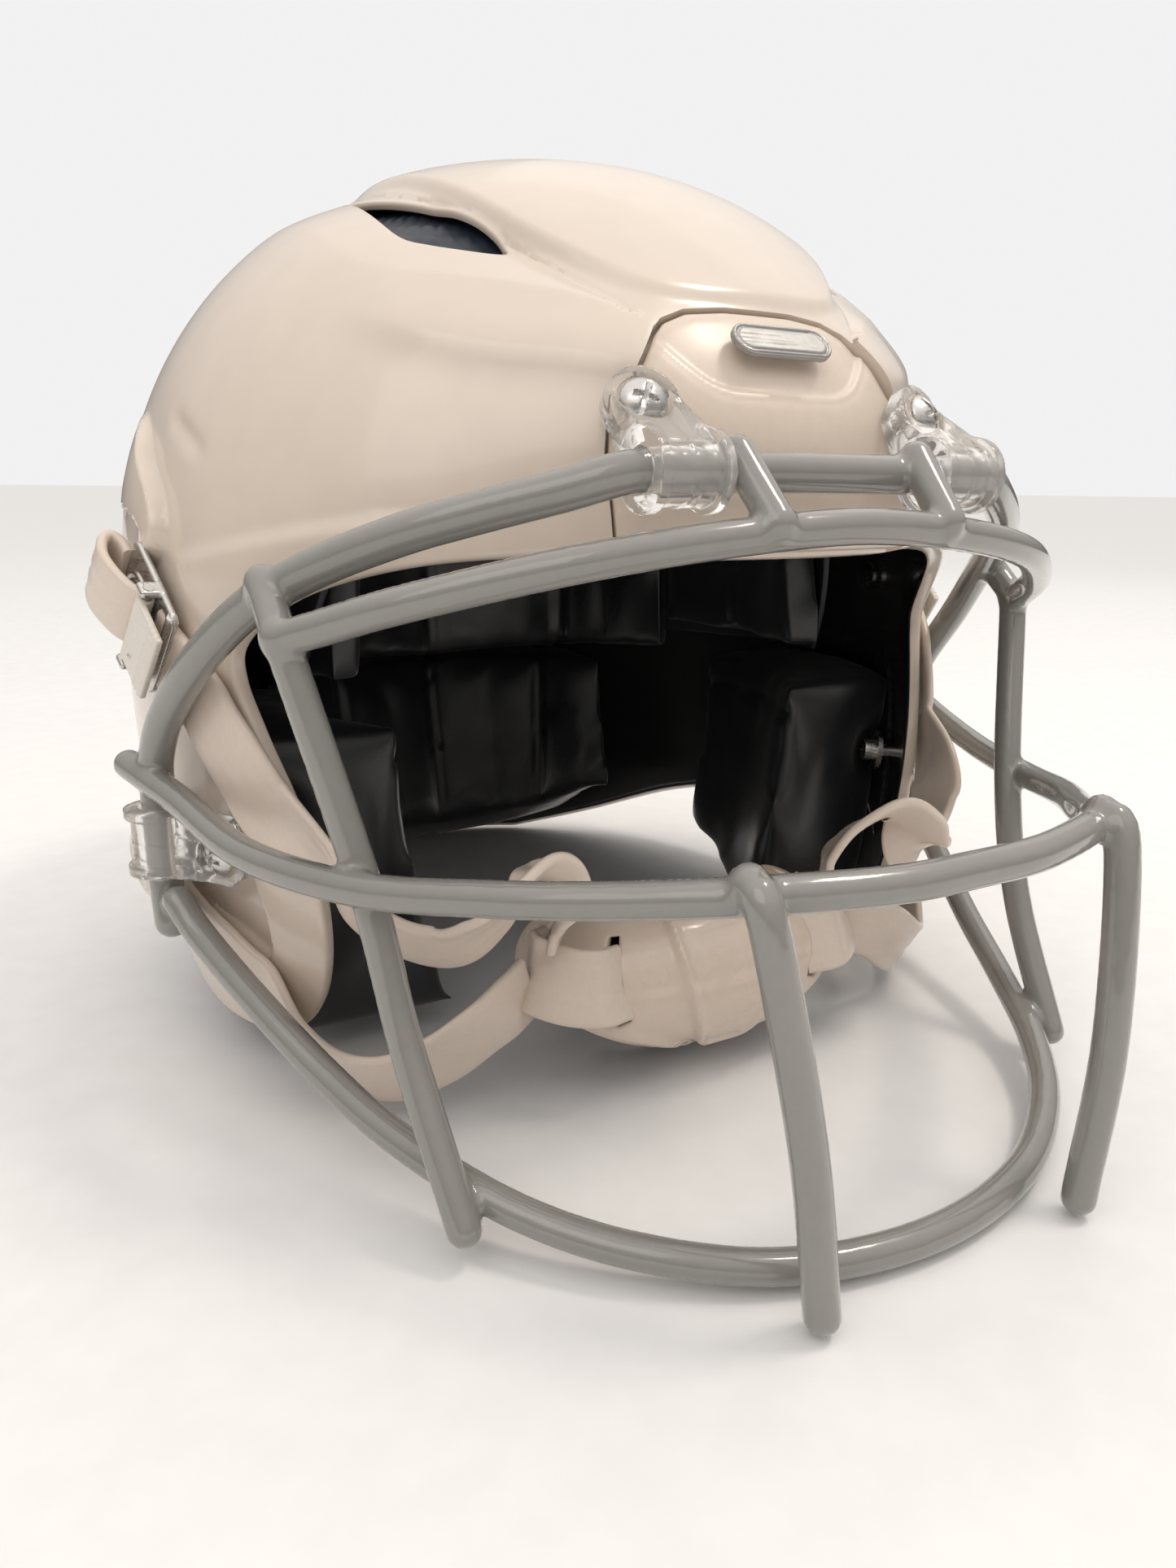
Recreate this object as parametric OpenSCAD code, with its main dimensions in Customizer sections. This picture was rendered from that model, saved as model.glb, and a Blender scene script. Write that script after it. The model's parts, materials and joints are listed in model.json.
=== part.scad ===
// American football helmet: moulded shell, wire cage, clear clips, chin strap set and pads.
// +Z is up, -Y is the face side, +X is the wearer's left. The origin is on the table, below the
// shell's centre. The helmet rests on the tips of the cage and on the shell's rear edge.

/* [Shell] */
// Half of the shell's width
half_w = 123.5; // [119:0.5:128]
// From the shell's centre to the brow
front_l = 117; // [114:0.5:120]
// From the shell's centre to the back
rear_l = 150; // [146:1:156]
// From the shell's centre to the crown
crown_h = 126; // [123:1:130]
// Reach of the skirt below the centre, before it is cut off
skirt_h = 214; // [205:1:225]
// Height of the shell's centre above the table
centre_z = 110; // [108:0.5:112]
// Wall of the shell
wall = 4; // [3:0.25:5]
// How far the brow stands out under the front bumper
brow_swell = 8.5; // [6:0.5:9]

/* [Cage] */
// Diameter of the perimeter bar
rim_d = 8.3; // [7.5:0.1:9]
// Diameter of the inner bars
bar_d = 7.3; // [6.5:0.1:7.6]
// Height of the perimeter bar's straight top
rim_top_z = 154.5; // [153:0.5:156]
// Distance of that straight top in front of the shell's centre
rim_top_y = 128; // [127:0.5:130]
// Half of the distance between the sides of the perimeter bar
rim_side_x = 124.2; // [124:0.2:126]

/* [Clips] */
// Distance of the top clips from the middle
top_clip_x = 36.5; // [36:0.5:38]
// Width of a clip along its bar
clip_w = 16; // [14:0.5:16]
// Wall of a clip round its bar
clip_t = 2.8; // [2.4:0.1:3.2]
// Diameter of the clip screws' heads
screw_head_d = 10; // [9:0.5:11]
// Diameter of the clip screws' shanks
screw_d = 4.2; // [4:0.1:4.8]

/* [Chin strap] */
// Width of the strap webbing
strap_w = 20; // [18:0.5:22]
// Thickness of the strap webbing
strap_t = 2; // [1.6:0.1:2.4]
// Half of the chin cup's width
cup_w = 54; // [50:1:56]

/* [Padding] */
// Depth of the shock absorbers under the shell
absorber_l = 17; // [14:0.5:18]
// Thickness of the comfort pads
pad_t = 13; // [9:0.5:14]

/* [Hidden] */

$fn = 32;
plan_e = 1.94;
side_e = 2.28;
gap = 0.6;
fit = 0.05;
rim_r = rim_d / 2;
bar_r = bar_d / 2;
clip_fit = 0.15;
clip_r = rim_r + clip_fit + clip_t;

white = [0.86, 0.82, 0.76];
cage_grey = [0.55, 0.56, 0.55];
clear = [0.85, 0.9, 0.92, 0.4];
steel = [0.75, 0.75, 0.75];
dark = [0.12, 0.12, 0.13];

// An egg is [centre, half_width, front, rear, up, down, plan_exponent, side_exponent].
shell_egg = [[0, 0, centre_z], half_w, front_l, rear_l, crown_h, skirt_h, plan_e, side_e];
cup_egg = [[0, -68, 27], cup_w, 40, 40, 24, 24, 2.3, 2.3];

// Unit vector at azimuth az, from the face side towards +X, and elevation el.
function heading(az, el) = [sin(az) * cos(el), -cos(az) * cos(el), sin(el)];

// How far the brow stands out of the plain egg in that direction.
function swell(az, el) = brow_swell * exp(-pow(az / 30, 4)) * exp(-pow((el - 27) / 17, 2));

// Distance from an egg's centre to its surface, with every half-axis less by d.
function reach(egg, az, el, d) = let(
    v = heading(az, el),
    x = abs(v.x) / (egg[1] - d),
    y = abs(v.y) / ((v.y < 0 ? egg[2] : egg[3]) - d),
    z = abs(v.z) / ((v.z > 0 ? egg[4] : egg[5]) - d),
    plan = pow(pow(x, egg[6]) + pow(y, egg[6]), 1 / egg[6]))
    pow(pow(plan, egg[7]) + pow(z, egg[7]), -1 / egg[7]);

// Outward normal of the plain egg in that direction.
function outward(egg, az, el) = let(
    v = reach(egg, az, el, 0) * heading(az, el),
    x = v.x / egg[1],
    y = v.y / (v.y < 0 ? egg[2] : egg[3]),
    z = v.z / (v.z > 0 ? egg[4] : egg[5]),
    plan = pow(pow(abs(x), egg[6]) + pow(abs(y), egg[6]), egg[7] / egg[6] - 1))
    unit([sign(x) * plan * pow(abs(x), egg[6] - 1) / egg[1],
        sign(y) * plan * pow(abs(y), egg[6] - 1) / (v.y < 0 ? egg[2] : egg[3]),
        sign(z) * pow(abs(z), egg[7] - 1) / (v.z > 0 ? egg[4] : egg[5])]);

function skin(egg, az, el, d) = egg[0] + reach(egg, az, el, d) * heading(az, el);
function brow_skin(az, el, d) = skin(shell_egg, az, el, d) + swell(az, el) * heading(az, el);

// Faces that join two grids of na by ne points, outer first, into one closed block.
function block_faces(na, ne) = let(n = na * ne, last = na - 1, top = ne - 1) concat(
    [for (i = [0:na - 2], j = [0:ne - 2]) let(a = i * ne + j) each
        [[a, a + 1, a + ne + 1, a + ne], [n + a, n + a + ne, n + a + ne + 1, n + a + 1]]],
    [for (i = [0:na - 2]) let(a = i * ne, b = i * ne + top) each
        [[a, a + ne, n + a + ne, n + a], [b, n + b, n + b + ne, b + ne]]],
    [for (j = [0:ne - 2]) let(b = last * ne + j) each
        [[j, n + j, n + j + 1, j + 1], [b, b + 1, n + b + 1, n + b]]]);

// A block of the layer between depths d_out and d_in of an egg.
module layer(egg, az, el, d_out, d_in, na = 12, ne = 9, swollen = false) {
    grid = [for (d = [d_out, d_in], i = [0:na - 1], j = [0:ne - 1]) let(
        a = az[0] + (az[1] - az[0]) * i / (na - 1),
        e = el[0] + (el[1] - el[0]) * j / (ne - 1))
        swollen ? brow_skin(a, e, d) : skin(egg, a, e, d)];
    polyhedron(grid, block_faces(na, ne), convexity = 6);
}

// A closed egg from elevation low up to the crown.
module egg_solid(egg, d, low, na, ne, swollen = false) {
    rings = [for (j = [0:ne - 1], i = [0:na - 1]) let(
        a = -180 + 360 * i / na,
        e = low + (89 - low) * j / (ne - 1))
        swollen ? brow_skin(a, e, d) : skin(egg, a, e, d)];
    sides = [for (j = [0:ne - 2], i = [0:na - 1]) let(k = (i + 1) % na)
        [j * na + i, (j + 1) * na + i, (j + 1) * na + k, j * na + k]];
    floor_face = [[for (i = [0:na - 1]) i]];
    roof_face = [[for (i = [0:na - 1]) (ne - 1) * na + na - 1 - i]];
    polyhedron(rings, concat(sides, floor_face, roof_face), convexity = 6);
}

// Catmull-Rom curve through the points p, with n steps between two points.
function curve(p, n) = let(m = len(p)) concat(
    [for (i = [0:m - 2], k = [0:n - 1]) let(
        t = k / n,
        a = i > 0 ? p[i - 1] : 2 * p[0] - p[1],
        b = p[i],
        c = p[i + 1],
        d = i < m - 2 ? p[i + 2] : 2 * p[m - 1] - p[m - 2])
        b + t / 2 * (c - a + t * (2 * a - 5 * b + 4 * c - d + t * (3 * (b - c) + d - a)))],
    [p[m - 1]]);

function unit(v) = v / norm(v);
// Path that runs from the left side to the middle, continued to the right side.
function both_halves(p) = concat(p, [for (i = [len(p) - 2:-1:0]) [-p[i].x, p[i].y, p[i].z]]);
function tangent(p, i) = unit(p[min(i + 1, len(p) - 1)] - p[max(i - 1, 0)]);

// Closed bar of constant outline, swept along the path p. across(i) is its wide direction.
module sweep(p, across, outline) {
    n = len(p);
    m = len(outline);
    points = [for (i = [0:n - 1]) let(
        t = tangent(p, i),
        w = unit(cross(cross(t, across[i]), t)),
        h = cross(t, w)) each [for (q = outline) p[i] + w * q.x + h * q.y]];
    sides = [for (i = [0:n - 2], k = [0:m - 1]) let(l = (k + 1) % m)
        [i * m + k, (i + 1) * m + k, (i + 1) * m + l, i * m + l]];
    start_face = [[for (k = [0:m - 1]) k]];
    end_face = [[for (k = [0:m - 1]) (n - 1) * m + m - 1 - k]];
    polyhedron(points, concat(sides, start_face, end_face), convexity = 6);
}

// Round wire of radius r with rounded ends.
module wire(p, r, sides = 10) {
    path = curve(p, 2);
    tilt = [for (q = path) [0.31, 0.23, 0.92]];
    ring = [for (k = [0:sides - 1]) r * [cos(360 * k / sides), sin(360 * k / sides)]];
    sweep(path, tilt, ring);
    translate(path[0]) sphere(r * 0.99, $fn = 8);
    translate(path[len(path) - 1]) sphere(r * 0.99, $fn = 8);
}

// Flat webbing along the path p. up lists the webbing's wide direction at each point of p.
module webbing(p, up) {
    path = curve(p, 3);
    wide = curve(up, 3);
    corners = [for (i = [0:len(path) - 1]) let(
        t = tangent(path, i),
        w = unit(cross(cross(t, wide[i]), t)) * strap_w / 2,
        h = unit(cross(t, w)) * strap_t / 2) each [path[i] - w - h, path[i] + w - h,
            path[i] + w + h, path[i] - w + h]];
    box_faces = [[0, 1, 2, 3], [7, 6, 5, 4], [0, 4, 5, 1], [1, 5, 6, 2], [2, 6, 7, 3], [3, 7, 4, 0]];
    as_mesh() for (i = [0:len(path) - 2])
        hull() polyhedron([for (k = [0:7]) corners[4 * i + k]], box_faces);
}

// Puts +Z along the vector v.
module aim(v) {
    rotate([0, acos(v.z / norm(v)), atan2(v.y, v.x)]) children();
}

// Puts the origin on an egg's surface at depth d, with +Z outwards.
module on_skin(az, el, d = 0) {
    translate(skin(shell_egg, az, el, 0)) aim(outward(shell_egg, az, el)) translate([0, 0, -d])
        children();
}

// Draws its children once on the wearer's left (s = 1), or mirrored on the right (s = -1).
module side(s) {
    if (s > 0) children();
    else mirror([1, 0, 0]) children();
}

// Joins its children into one mesh, which keeps its size.
module as_mesh() {
    resize([0, 0, 0]) union() {
        children();
    }
}

// Places of the clip screws: the seat on the shell and the outward direction.
top_screw_axis = unit([0.24, -0.88, 0.4]);
top_screw_seat = [top_clip_x, -112.6, 165.5];
side_screw_axis = outward(shell_egg, 65.5, -20.2);
side_screw_seat = skin(shell_egg, 65.5, -20.2, -0.3);
clip_plate_t = 4;
plate_lift = 1;

module screw_places() {
    for (s = [-1, 1]) side(s) {
        translate(top_screw_seat) aim(top_screw_axis) children();
        translate(side_screw_seat) aim(side_screw_axis) children();
    }
}

// Side view of what is cut away: the face opening and everything below the lower edge.
module opening_outline() {
    offset(7) offset(-7) offset(-9) offset(9)
        polygon([[-260, 138], [-104, 138], [-88, 135], [-68, 127], [-52, 113], [-59, 96], [-67, 76],
            [-70, 58], [-67, 36], [-59, 19], [-42, 11], [-18, 11], [2, 22], [34, 32], [70, 24],
            [104, 8], [122, 0], [260, 0], [260, -80], [-260, -80]]);
}

module sideways_cut() {
    rotate([90, 0, 90]) linear_extrude(400, center = true) children();
}

// Front view of the front bumper.
module bumper_outline() {
    offset(3) offset(-3) polygon([[-41, 120], [41, 120], [41, 141], [42.5, 160], [34, 174],
        [27, 184], [17, 189], [-17, 189], [-27, 184], [-34, 174], [-42.5, 160], [-41, 141]]);
}

// The part of the swollen brow layer inside the bumper's outline.
module bumper_block(d_out, d_in, grow) {
    intersection() {
        layer(shell_egg, [-34, 34], [3, 52], d_out, d_in, 18, 13, true);
        rotate([90, 0, 0]) linear_extrude(200) offset(grow) bumper_outline();
    }
}

module crown_slot(s) {
    side(s) translate([0, 0, 170]) linear_extrude(90) offset(2) offset(-2)
        polygon([[67, -26], [59, -42], [53, -60], [47, -76], [52, -76], [65, -62], [68, -50]]);
}

stud_az = 79;
stud_el = 6;
low_stud_az = 84;
low_stud_el = -25;
ear_az = 99;
ear_el = -22;

module shell() {
    color(white) as_mesh() difference() {
        egg_solid(shell_egg, 0, -44, 60, 25, true);
        egg_solid(shell_egg, wall, -46, 44, 18);
        sideways_cut() opening_outline();
        bumper_block(-12, bumper_t + 2 * gap, gap);
        for (s = [-1, 1]) crown_slot(s);
        for (s = [-1, 1], p = [[ear_az, ear_el, 12], [148, 26, 9], [stud_az, stud_el, 2.8],
            [low_stud_az, low_stud_el, 2.8]])
            side(s) on_skin(p[0], p[1]) cylinder(r = p[2], h = 24, center = true);
        screw_places() cylinder(r = screw_d / 2 + 1.9, h = 50, center = true);
    }
}

bumper_t = 4;

module front_bumper() {
    color(white) as_mesh() difference() {
        bumper_block(0, bumper_t, 0);
        sideways_cut() offset(delta = 1) opening_outline();
        screw_places() cylinder(r = screw_d / 2 + 0.6, h = 50, center = true);
    }
}

module rear_bumper() {
    color(white) as_mesh() difference() {
        layer(shell_egg, [156, 204], [-37, -13], -3.6, -gap, 14, 8);
        sideways_cut() translate([0, 4]) opening_outline();
    }
}

badge_size = [27, 9, 1.6];
badge_axis = unit([0, -0.75, 0.66]);

module badge() {
    seat = brow_skin(0, 32.5, -0.7);
    color("silver") translate(seat) aim(badge_axis) rotate([0, 0, 90])
        linear_extrude(badge_size.z) hull() for (s = [-1, 1])
            translate([s * (badge_size.x - badge_size.y) / 2, 0]) circle(badge_size.y / 2);
}

module vent_screens() {
    color([0.12, 0.16, 0.22]) for (s = [-1, 1]) side(s)
        layer(shell_egg, [20, 68], [46, 67], wall + gap, wall + gap + 1.4, 8, 8);
}

rim_path = [[48, -rim_top_y, rim_top_z], [57, -123, 150.8], [70, -114.5, 147], [84, -103.5, 142],
    [98, -88.5, 134.5], [108, -75, 126], [116.5, -60, 113], [122, -45.5, 99], [124, -37.5, 88]];
rim_side = [[rim_side_x, -34, 79], [rim_side_x, -34, 54], [rim_side_x, -37.5, 45]];
bottom_path = [[123, -42, 52], [119.5, -49, 45], [111.8, -68, 34.8], [101.6, -91.3, 23.4],
    [91, -114, 15.6], [76, -139, 9.9], [57, -158.5, 6.7], [32, -172.4, 4.4], [0, -178, 4]];
middle_path = [[129.5, -30, 84.5], [121.5, -50, 79.4], [113, -78.3, 73.7], [98, -109.3, 73.5],
    [80.2, -134.8, 77], [64, -152, 79.7], [46, -168.4, 83], [20, -177, 83.5], [0, -178, 83.5]];
brow_path = [[105.4, -92.5, 121.6], [98.8, -101.2, 124.8], [86.8, -114, 130], [60.7, -131, 137.5],
    [31, -139, 142.2], [0, -141.5, 144.3]];

module facemask() {
    color(cage_grey) as_mesh() {
        wire([[-48, -rim_top_y, rim_top_z], [48, -rim_top_y, rim_top_z]], rim_r);
        wire(both_halves(bottom_path), bar_r);
        wire(both_halves(middle_path), bar_r);
        wire(both_halves(brow_path), bar_r);
        for (s = [-1, 1]) side(s) {
            wire(rim_path, rim_r);
            wire([rim_path[8], rim_side[0]], rim_r);
            wire([rim_side[0], rim_side[1]], rim_r);
            wire([rim_side[1], rim_side[2]], rim_r);
            wire([[105.6, -80.5, 132], [105.5, -92, 122]], bar_r);
            wire([[105.3, -92, 121.8], [94.8, -106, 72], [91, -117, 40], [87, -136, 8]], bar_r);
            wire([[46.5, -169.5, 86], [46.5, -175.5, 80], [41, -183, 40], [36, -184.5, 4]], bar_r);
            wire([[23.8, -129.8, 158], [22.4, -141.8, 145]], bar_r);
        }
    }
}

// Hole for a screw's shank, with a recess for its head.
module screw_hole() {
    cylinder(r = screw_d / 2 + 0.3, h = 40, center = true);
    translate([0, 0, plate_lift + clip_plate_t]) cylinder(r = screw_head_d / 2 + 0.4, h = 20);
}

module top_clip(s) {
    loop_w = clip_w;
    color(clear) side(s) difference() {
        union() {
            translate([top_clip_x, -rim_top_y, rim_top_z]) rotate([0, 90, 0])
                cylinder(r = clip_r, h = loop_w, center = true);
            hull() {
                translate([top_clip_x, -rim_top_y, rim_top_z]) rotate([0, 90, 0])
                    cylinder(r = rim_r, h = loop_w, center = true);
                translate(top_screw_seat) aim(top_screw_axis) translate([0, 0, plate_lift])
                    cylinder(r = clip_w / 2, h = clip_plate_t);
            }
        }
        translate([top_clip_x, -rim_top_y, rim_top_z]) rotate([0, 90, 0])
            cylinder(r = rim_r + clip_fit, h = 2 * loop_w, center = true);
        translate(top_screw_seat) aim(top_screw_axis) screw_hole();
    }
}

module top_clip_right() {
    top_clip(-1);
}

module top_clip_left() {
    top_clip(1);
}

module side_clip(s) {
    loop_z = 66;
    color(clear) side(s) difference() {
        union() {
            translate([rim_side_x, -34, loop_z]) cylinder(r = clip_r, h = clip_w, center = true);
            hull() {
                translate([rim_side_x, -34, loop_z]) cylinder(r = rim_r, h = clip_w, center = true);
                translate(side_screw_seat) aim(side_screw_axis) translate([0, 0, plate_lift])
                    cylinder(r = clip_w / 2, h = clip_plate_t);
            }
        }
        translate([rim_side_x, -34, loop_z])
            cylinder(r = rim_r + clip_fit, h = 2 * clip_w, center = true);
        translate(side_screw_seat) aim(side_screw_axis) screw_hole();
    }
}

module side_clip_right() {
    side_clip(-1);
}

module side_clip_left() {
    side_clip(1);
}

// Truss-head screw with a slot, standing on a clip plate.
module clip_screw(length) {
    head_h = 2.8;
    seat = plate_lift + clip_plate_t + 0.1;
    difference() {
        union() {
            translate([0, 0, seat]) intersection() {
                cylinder(d = screw_head_d, h = head_h);
                translate([0, 0, head_h - 7]) sphere(7, $fn = 48);
            }
            translate([0, 0, seat - length]) cylinder(d = screw_d, h = length + 0.5);
        }
        translate([0, 0, seat + head_h]) cube([screw_head_d, 1.2, 2.4], center = true);
    }
}

top_screw_l = 25.5;
side_screw_l = 17.5;

module clip_screws() {
    color(steel) for (s = [-1, 1]) side(s) {
        translate(top_screw_seat) aim(top_screw_axis) clip_screw(top_screw_l);
        translate(side_screw_seat) aim(side_screw_axis) clip_screw(side_screw_l);
    }
}

// Flanged nut under the shell, on the screw's axis, from height z down.
module clip_nut(z) {
    difference() {
        union() {
            translate([0, 0, z - 1.5]) cylinder(d = 13, h = 1.5);
            translate([0, 0, z - 5]) cylinder(d = 7, h = 5);
        }
        translate([0, 0, z - 8]) cylinder(r = screw_d / 2 + fit, h = 12);
    }
}

module clip_nuts() {
    color(steel) for (s = [-1, 1]) side(s) {
        translate(top_screw_seat) aim(top_screw_axis) clip_nut(-16);
        translate(side_screw_seat) aim(side_screw_axis) clip_nut(-8);
    }
}

// Riveted stud: a flange on the skin, a post with a head, and a shank through the wall.
module stud() {
    translate([0, 0, 0.4]) cylinder(d = 10, h = 1.2);
    translate([0, 0, 0.4]) cylinder(d = 5, h = 5);
    translate([0, 0, 5.2]) cylinder(d = 6.4, h = 1.2);
    translate([0, 0, -wall - 2]) cylinder(d = 4.4, h = wall + 3);
    translate([0, 0, -wall - 2.4]) cylinder(d = 9, h = 1.2);
}

module strap_studs() {
    color(steel) for (s = [-1, 1]) side(s) {
        on_skin(stud_az, stud_el) stud();
        on_skin(low_stud_az, low_stud_el) stud();
    }
}

// Buckle frame in the stud's own axes: +Z outwards, +X forwards and down along the strap.
buckle_turn = -50;
frame_l = 28;
frame_w = 26;
frame_t = 1.6;
frame_z = 1.8;
pin_x = 8;
pin_z = frame_z + frame_t + 2.2;
pin_d = 2.4;

module on_buckle() {
    on_skin(stud_az, stud_el) rotate([0, 0, buckle_turn]) children();
}

module buckle(s) {
    color(steel) side(s) on_buckle() difference() {
        union() {
            translate([-9, 0, frame_z]) linear_extrude(frame_t) translate([frame_l / 2, 0])
                offset(3) square([frame_l - 6, frame_w - 6], center = true);
            translate([0, 0, frame_z]) cylinder(d = 11, h = 3.2);
            for (y = [-1, 1]) translate([pin_x - 2.2, y * (frame_w / 2 - 1) - 1, frame_z])
                cube([4.4, 2, 6]);
        }
        cylinder(r = 2.5 + fit, h = 20);
        translate([13, 0, 0]) cube([4.5, strap_w + 0.8, 20], center = true);
        translate([pin_x, 0, pin_z]) rotate([90, 0, 0]) cylinder(d = pin_d, h = 40, center = true);
    }
}

module buckle_right() {
    buckle(-1);
}

module buckle_left() {
    buckle(1);
}

module lever_pin(s) {
    color(steel) side(s) on_buckle() translate([pin_x, 0, pin_z])
        rotate([90, 0, 0]) cylinder(d = pin_d, h = frame_w, center = true);
}

module lever_pin_right() {
    lever_pin(-1);
}

module lever_pin_left() {
    lever_pin(1);
}

// Cam lever that clamps the webbing: it lies over the frame and swings up about its pin.
module buckle_lever(s) {
    lever_w = frame_w - 6;
    color("white") side(s) on_buckle() translate([pin_x, 0, pin_z]) difference() {
        union() {
            rotate([90, 0, 0]) cylinder(d = 4.2, h = lever_w, center = true);
            translate([0, -lever_w / 2, 0.4]) cube([14.5, lever_w, 1.7]);
        }
        rotate([90, 0, 0]) cylinder(r = pin_d / 2 + fit, h = 40, center = true);
    }
}

module buckle_lever_right() {
    buckle_lever(-1);
}

module buckle_lever_left() {
    buckle_lever(1);
}

// Snap button that closes over the lower stud and carries the lower strap.
module lower_snap(s) {
    color(white) side(s) on_skin(low_stud_az, low_stud_el) difference() {
        translate([0, 0, 1.8]) cylinder(d = 19, h = 6.4);
        translate([0, 0, 1]) cylinder(r = 3.2 + fit, h = 6);
    }
}

module lower_snap_right() {
    lower_snap(-1);
}

module lower_snap_left() {
    lower_snap(1);
}

// Strap paths on the left side: first along the skin, by azimuth and elevation, then in the air.
strap_lift = 2.1;
upper_on_skin = [[67, -4], [63, -9], [58.2, -15]];
upper_free = [[95.5, -78, 68.5], [90.5, -83.5, 58.5], [82, -88.5, 51.5], [73, -95, 50], [66, -101, 56],
    [60, -105, 64], [53.5, -103.5, 67.5], [46.5, -98, 62]];
upper_tilt = [[0.25, -0.35, 0.9], [0.35, -0.58, 0.68], [0.5, -0.72, 0.45], [0.5, -0.72, 0.45],
    [0.45, -0.8, 0.35], [0.4, -0.88, 0.25], [0.3, -0.92, 0.2], [0.25, -0.92, 0.25]];
lower_on_skin = [[76, -29.5], [70, -32], [64, -35]];
lower_free = [[100, -65, 18.5], [93, -74, 13], [84, -83, 13], [74, -89.5, 19], [65, -93, 26.5]];
lower_tilt = [[0.25, -0.3, 0.92], [0.35, -0.36, 0.87], [0.35, -0.36, 0.87], [0.3, -0.35, 0.88],
    [0.25, -0.3, 0.92]];

function along_skin(q) = [for (a = q) skin(shell_egg, a[0], a[1], -strap_lift)];
// Wide direction of webbing that lies on the skin: square to its path and to the normal.
function lying(q) = let(p = along_skin(q), last = len(q) - 1) [for (i = [0:last])
    cross(p[min(i + 1, last)] - p[max(i - 1, 0)], outward(shell_egg, q[i][0], q[i][1]))];

module upper_strap(s) {
    color(white) side(s)
        webbing(concat(along_skin(upper_on_skin), upper_free), concat(lying(upper_on_skin), upper_tilt));
}

module lower_strap(s) {
    color(white) side(s)
        webbing(concat(along_skin(lower_on_skin), lower_free), concat(lying(lower_on_skin), lower_tilt));
}

module upper_strap_right() {
    upper_strap(-1);
}

module upper_strap_left() {
    upper_strap(1);
}

module lower_strap_right() {
    lower_strap(-1);
}

module lower_strap_left() {
    lower_strap(1);
}

cup_t = 3;

module chin_cup() {
    color(white) as_mesh() difference() {
        layer(cup_egg, [-82, 82], [-58, 38], 0, cup_t, 25, 11);
        for (s = [-1, 1], a = [44, 70]) side(s) translate([0, -68, 32])
            rotate([0, 0, a - 90]) translate([45, 0, 0]) cube([40, 3.4, strap_w + 1], center = true);
    }
}

module chin_cup_pad() {
    color([0.2, 0.2, 0.2]) layer(cup_egg, [-66, 66], [-48, 30], cup_t + gap, cup_t + 8, 17, 9);
}

absorber_r = 16;
absorber_top = 7.5;

module shock_absorbers() {
    rows = [[64, [0, 72, 144, 216, 288]], [33, [64, 104, 140, 180, 220, 256, 296]],
        [2, [98, 136, 180, 224, 262]]];
    color(dark) for (row = rows, az = row[1])
        on_skin(az, row[0], absorber_top + 2) translate([0, 0, -absorber_l])
            cylinder(r1 = absorber_r - 3, r2 = absorber_r, h = absorber_l, $fn = 24);
}

bonnet_d = absorber_top + absorber_l + 5.5;
bonnet_t = 2;
pad_d = bonnet_d + bonnet_t + 2.4;

// Side view of what is cut from the inner cap: the face side and all below the ears.
module cap_outline() {
    polygon([[-260, 300], [-70, 300], [-48, 150], [-30, 99], [60, 96], [200, 84], [200, -80], [-260, -80]]);
}

module bonnet() {
    color(dark) as_mesh() difference() {
        egg_solid(shell_egg, bonnet_d, -30, 32, 12);
        egg_solid(shell_egg, bonnet_d + bonnet_t, -34, 32, 12);
        sideways_cut() cap_outline();
    }
}

module comfort_pad(az, el, na, ne) {
    color(dark) layer(shell_egg, az, el, pad_d, pad_d + pad_t, na, ne);
}

module brow_pad() {
    color(dark) as_mesh() difference() {
        layer(shell_egg, [-42, 42], [17, 42], wall + 2, wall + 24, 13, 7);
        for (s = [-1, 1]) side(s) translate(top_screw_seat) aim(top_screw_axis)
            cylinder(r = 8.5, h = 42, center = true);
    }
}

module crown_pad() {
    color(dark) as_mesh() difference() {
        intersection() {
            egg_solid(shell_egg, pad_d, 40, 32, 9);
            translate([0, 8, 100]) cylinder(r = 42, h = 120);
        }
        egg_solid(shell_egg, pad_d + pad_t, 36, 32, 9);
    }
}

module side_pad_right() {
    comfort_pad([-118, -66], [-4, 40], 11, 9);
}

module side_pad_left() {
    comfort_pad([66, 118], [-4, 40], 11, 9);
}

module rear_pad() {
    comfort_pad([126, 234], [-12, 40], 19, 9);
}

// Fills the shell's lower part from just inside the wall to a depth, down to its edge.
module low_pad(d_in) {
    difference() {
        egg_solid(shell_egg, wall + 3.4, -58, 32, 14);
        egg_solid(shell_egg, d_in, -62, 32, 14);
        translate([0, 0, 4]) sideways_cut() opening_outline();
    }
}

module neck_pad() {
    color(dark) as_mesh() intersection() {
        low_pad(wall + 40);
        translate([-56, 55, 0]) cube([112, 110, 80]);
    }
}

module jaw_pad(s) {
    color(dark) side(s) as_mesh() intersection() {
        difference() {
            low_pad(wall + 40);
            translate(side_screw_seat) aim(side_screw_axis) cylinder(r = 8.5, h = 38, center = true);
        }
        translate([40, -42, 0]) cube([90, 60, 90]);
    }
}

module jaw_pad_right() {
    jaw_pad(-1);
}

module jaw_pad_left() {
    jaw_pad(1);
}

// Moves the helmet so that the origin lies under the middle of its length.
centre_y = 17.873;

module centred() {
    translate([0, centre_y, 0]) children();
}

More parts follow.
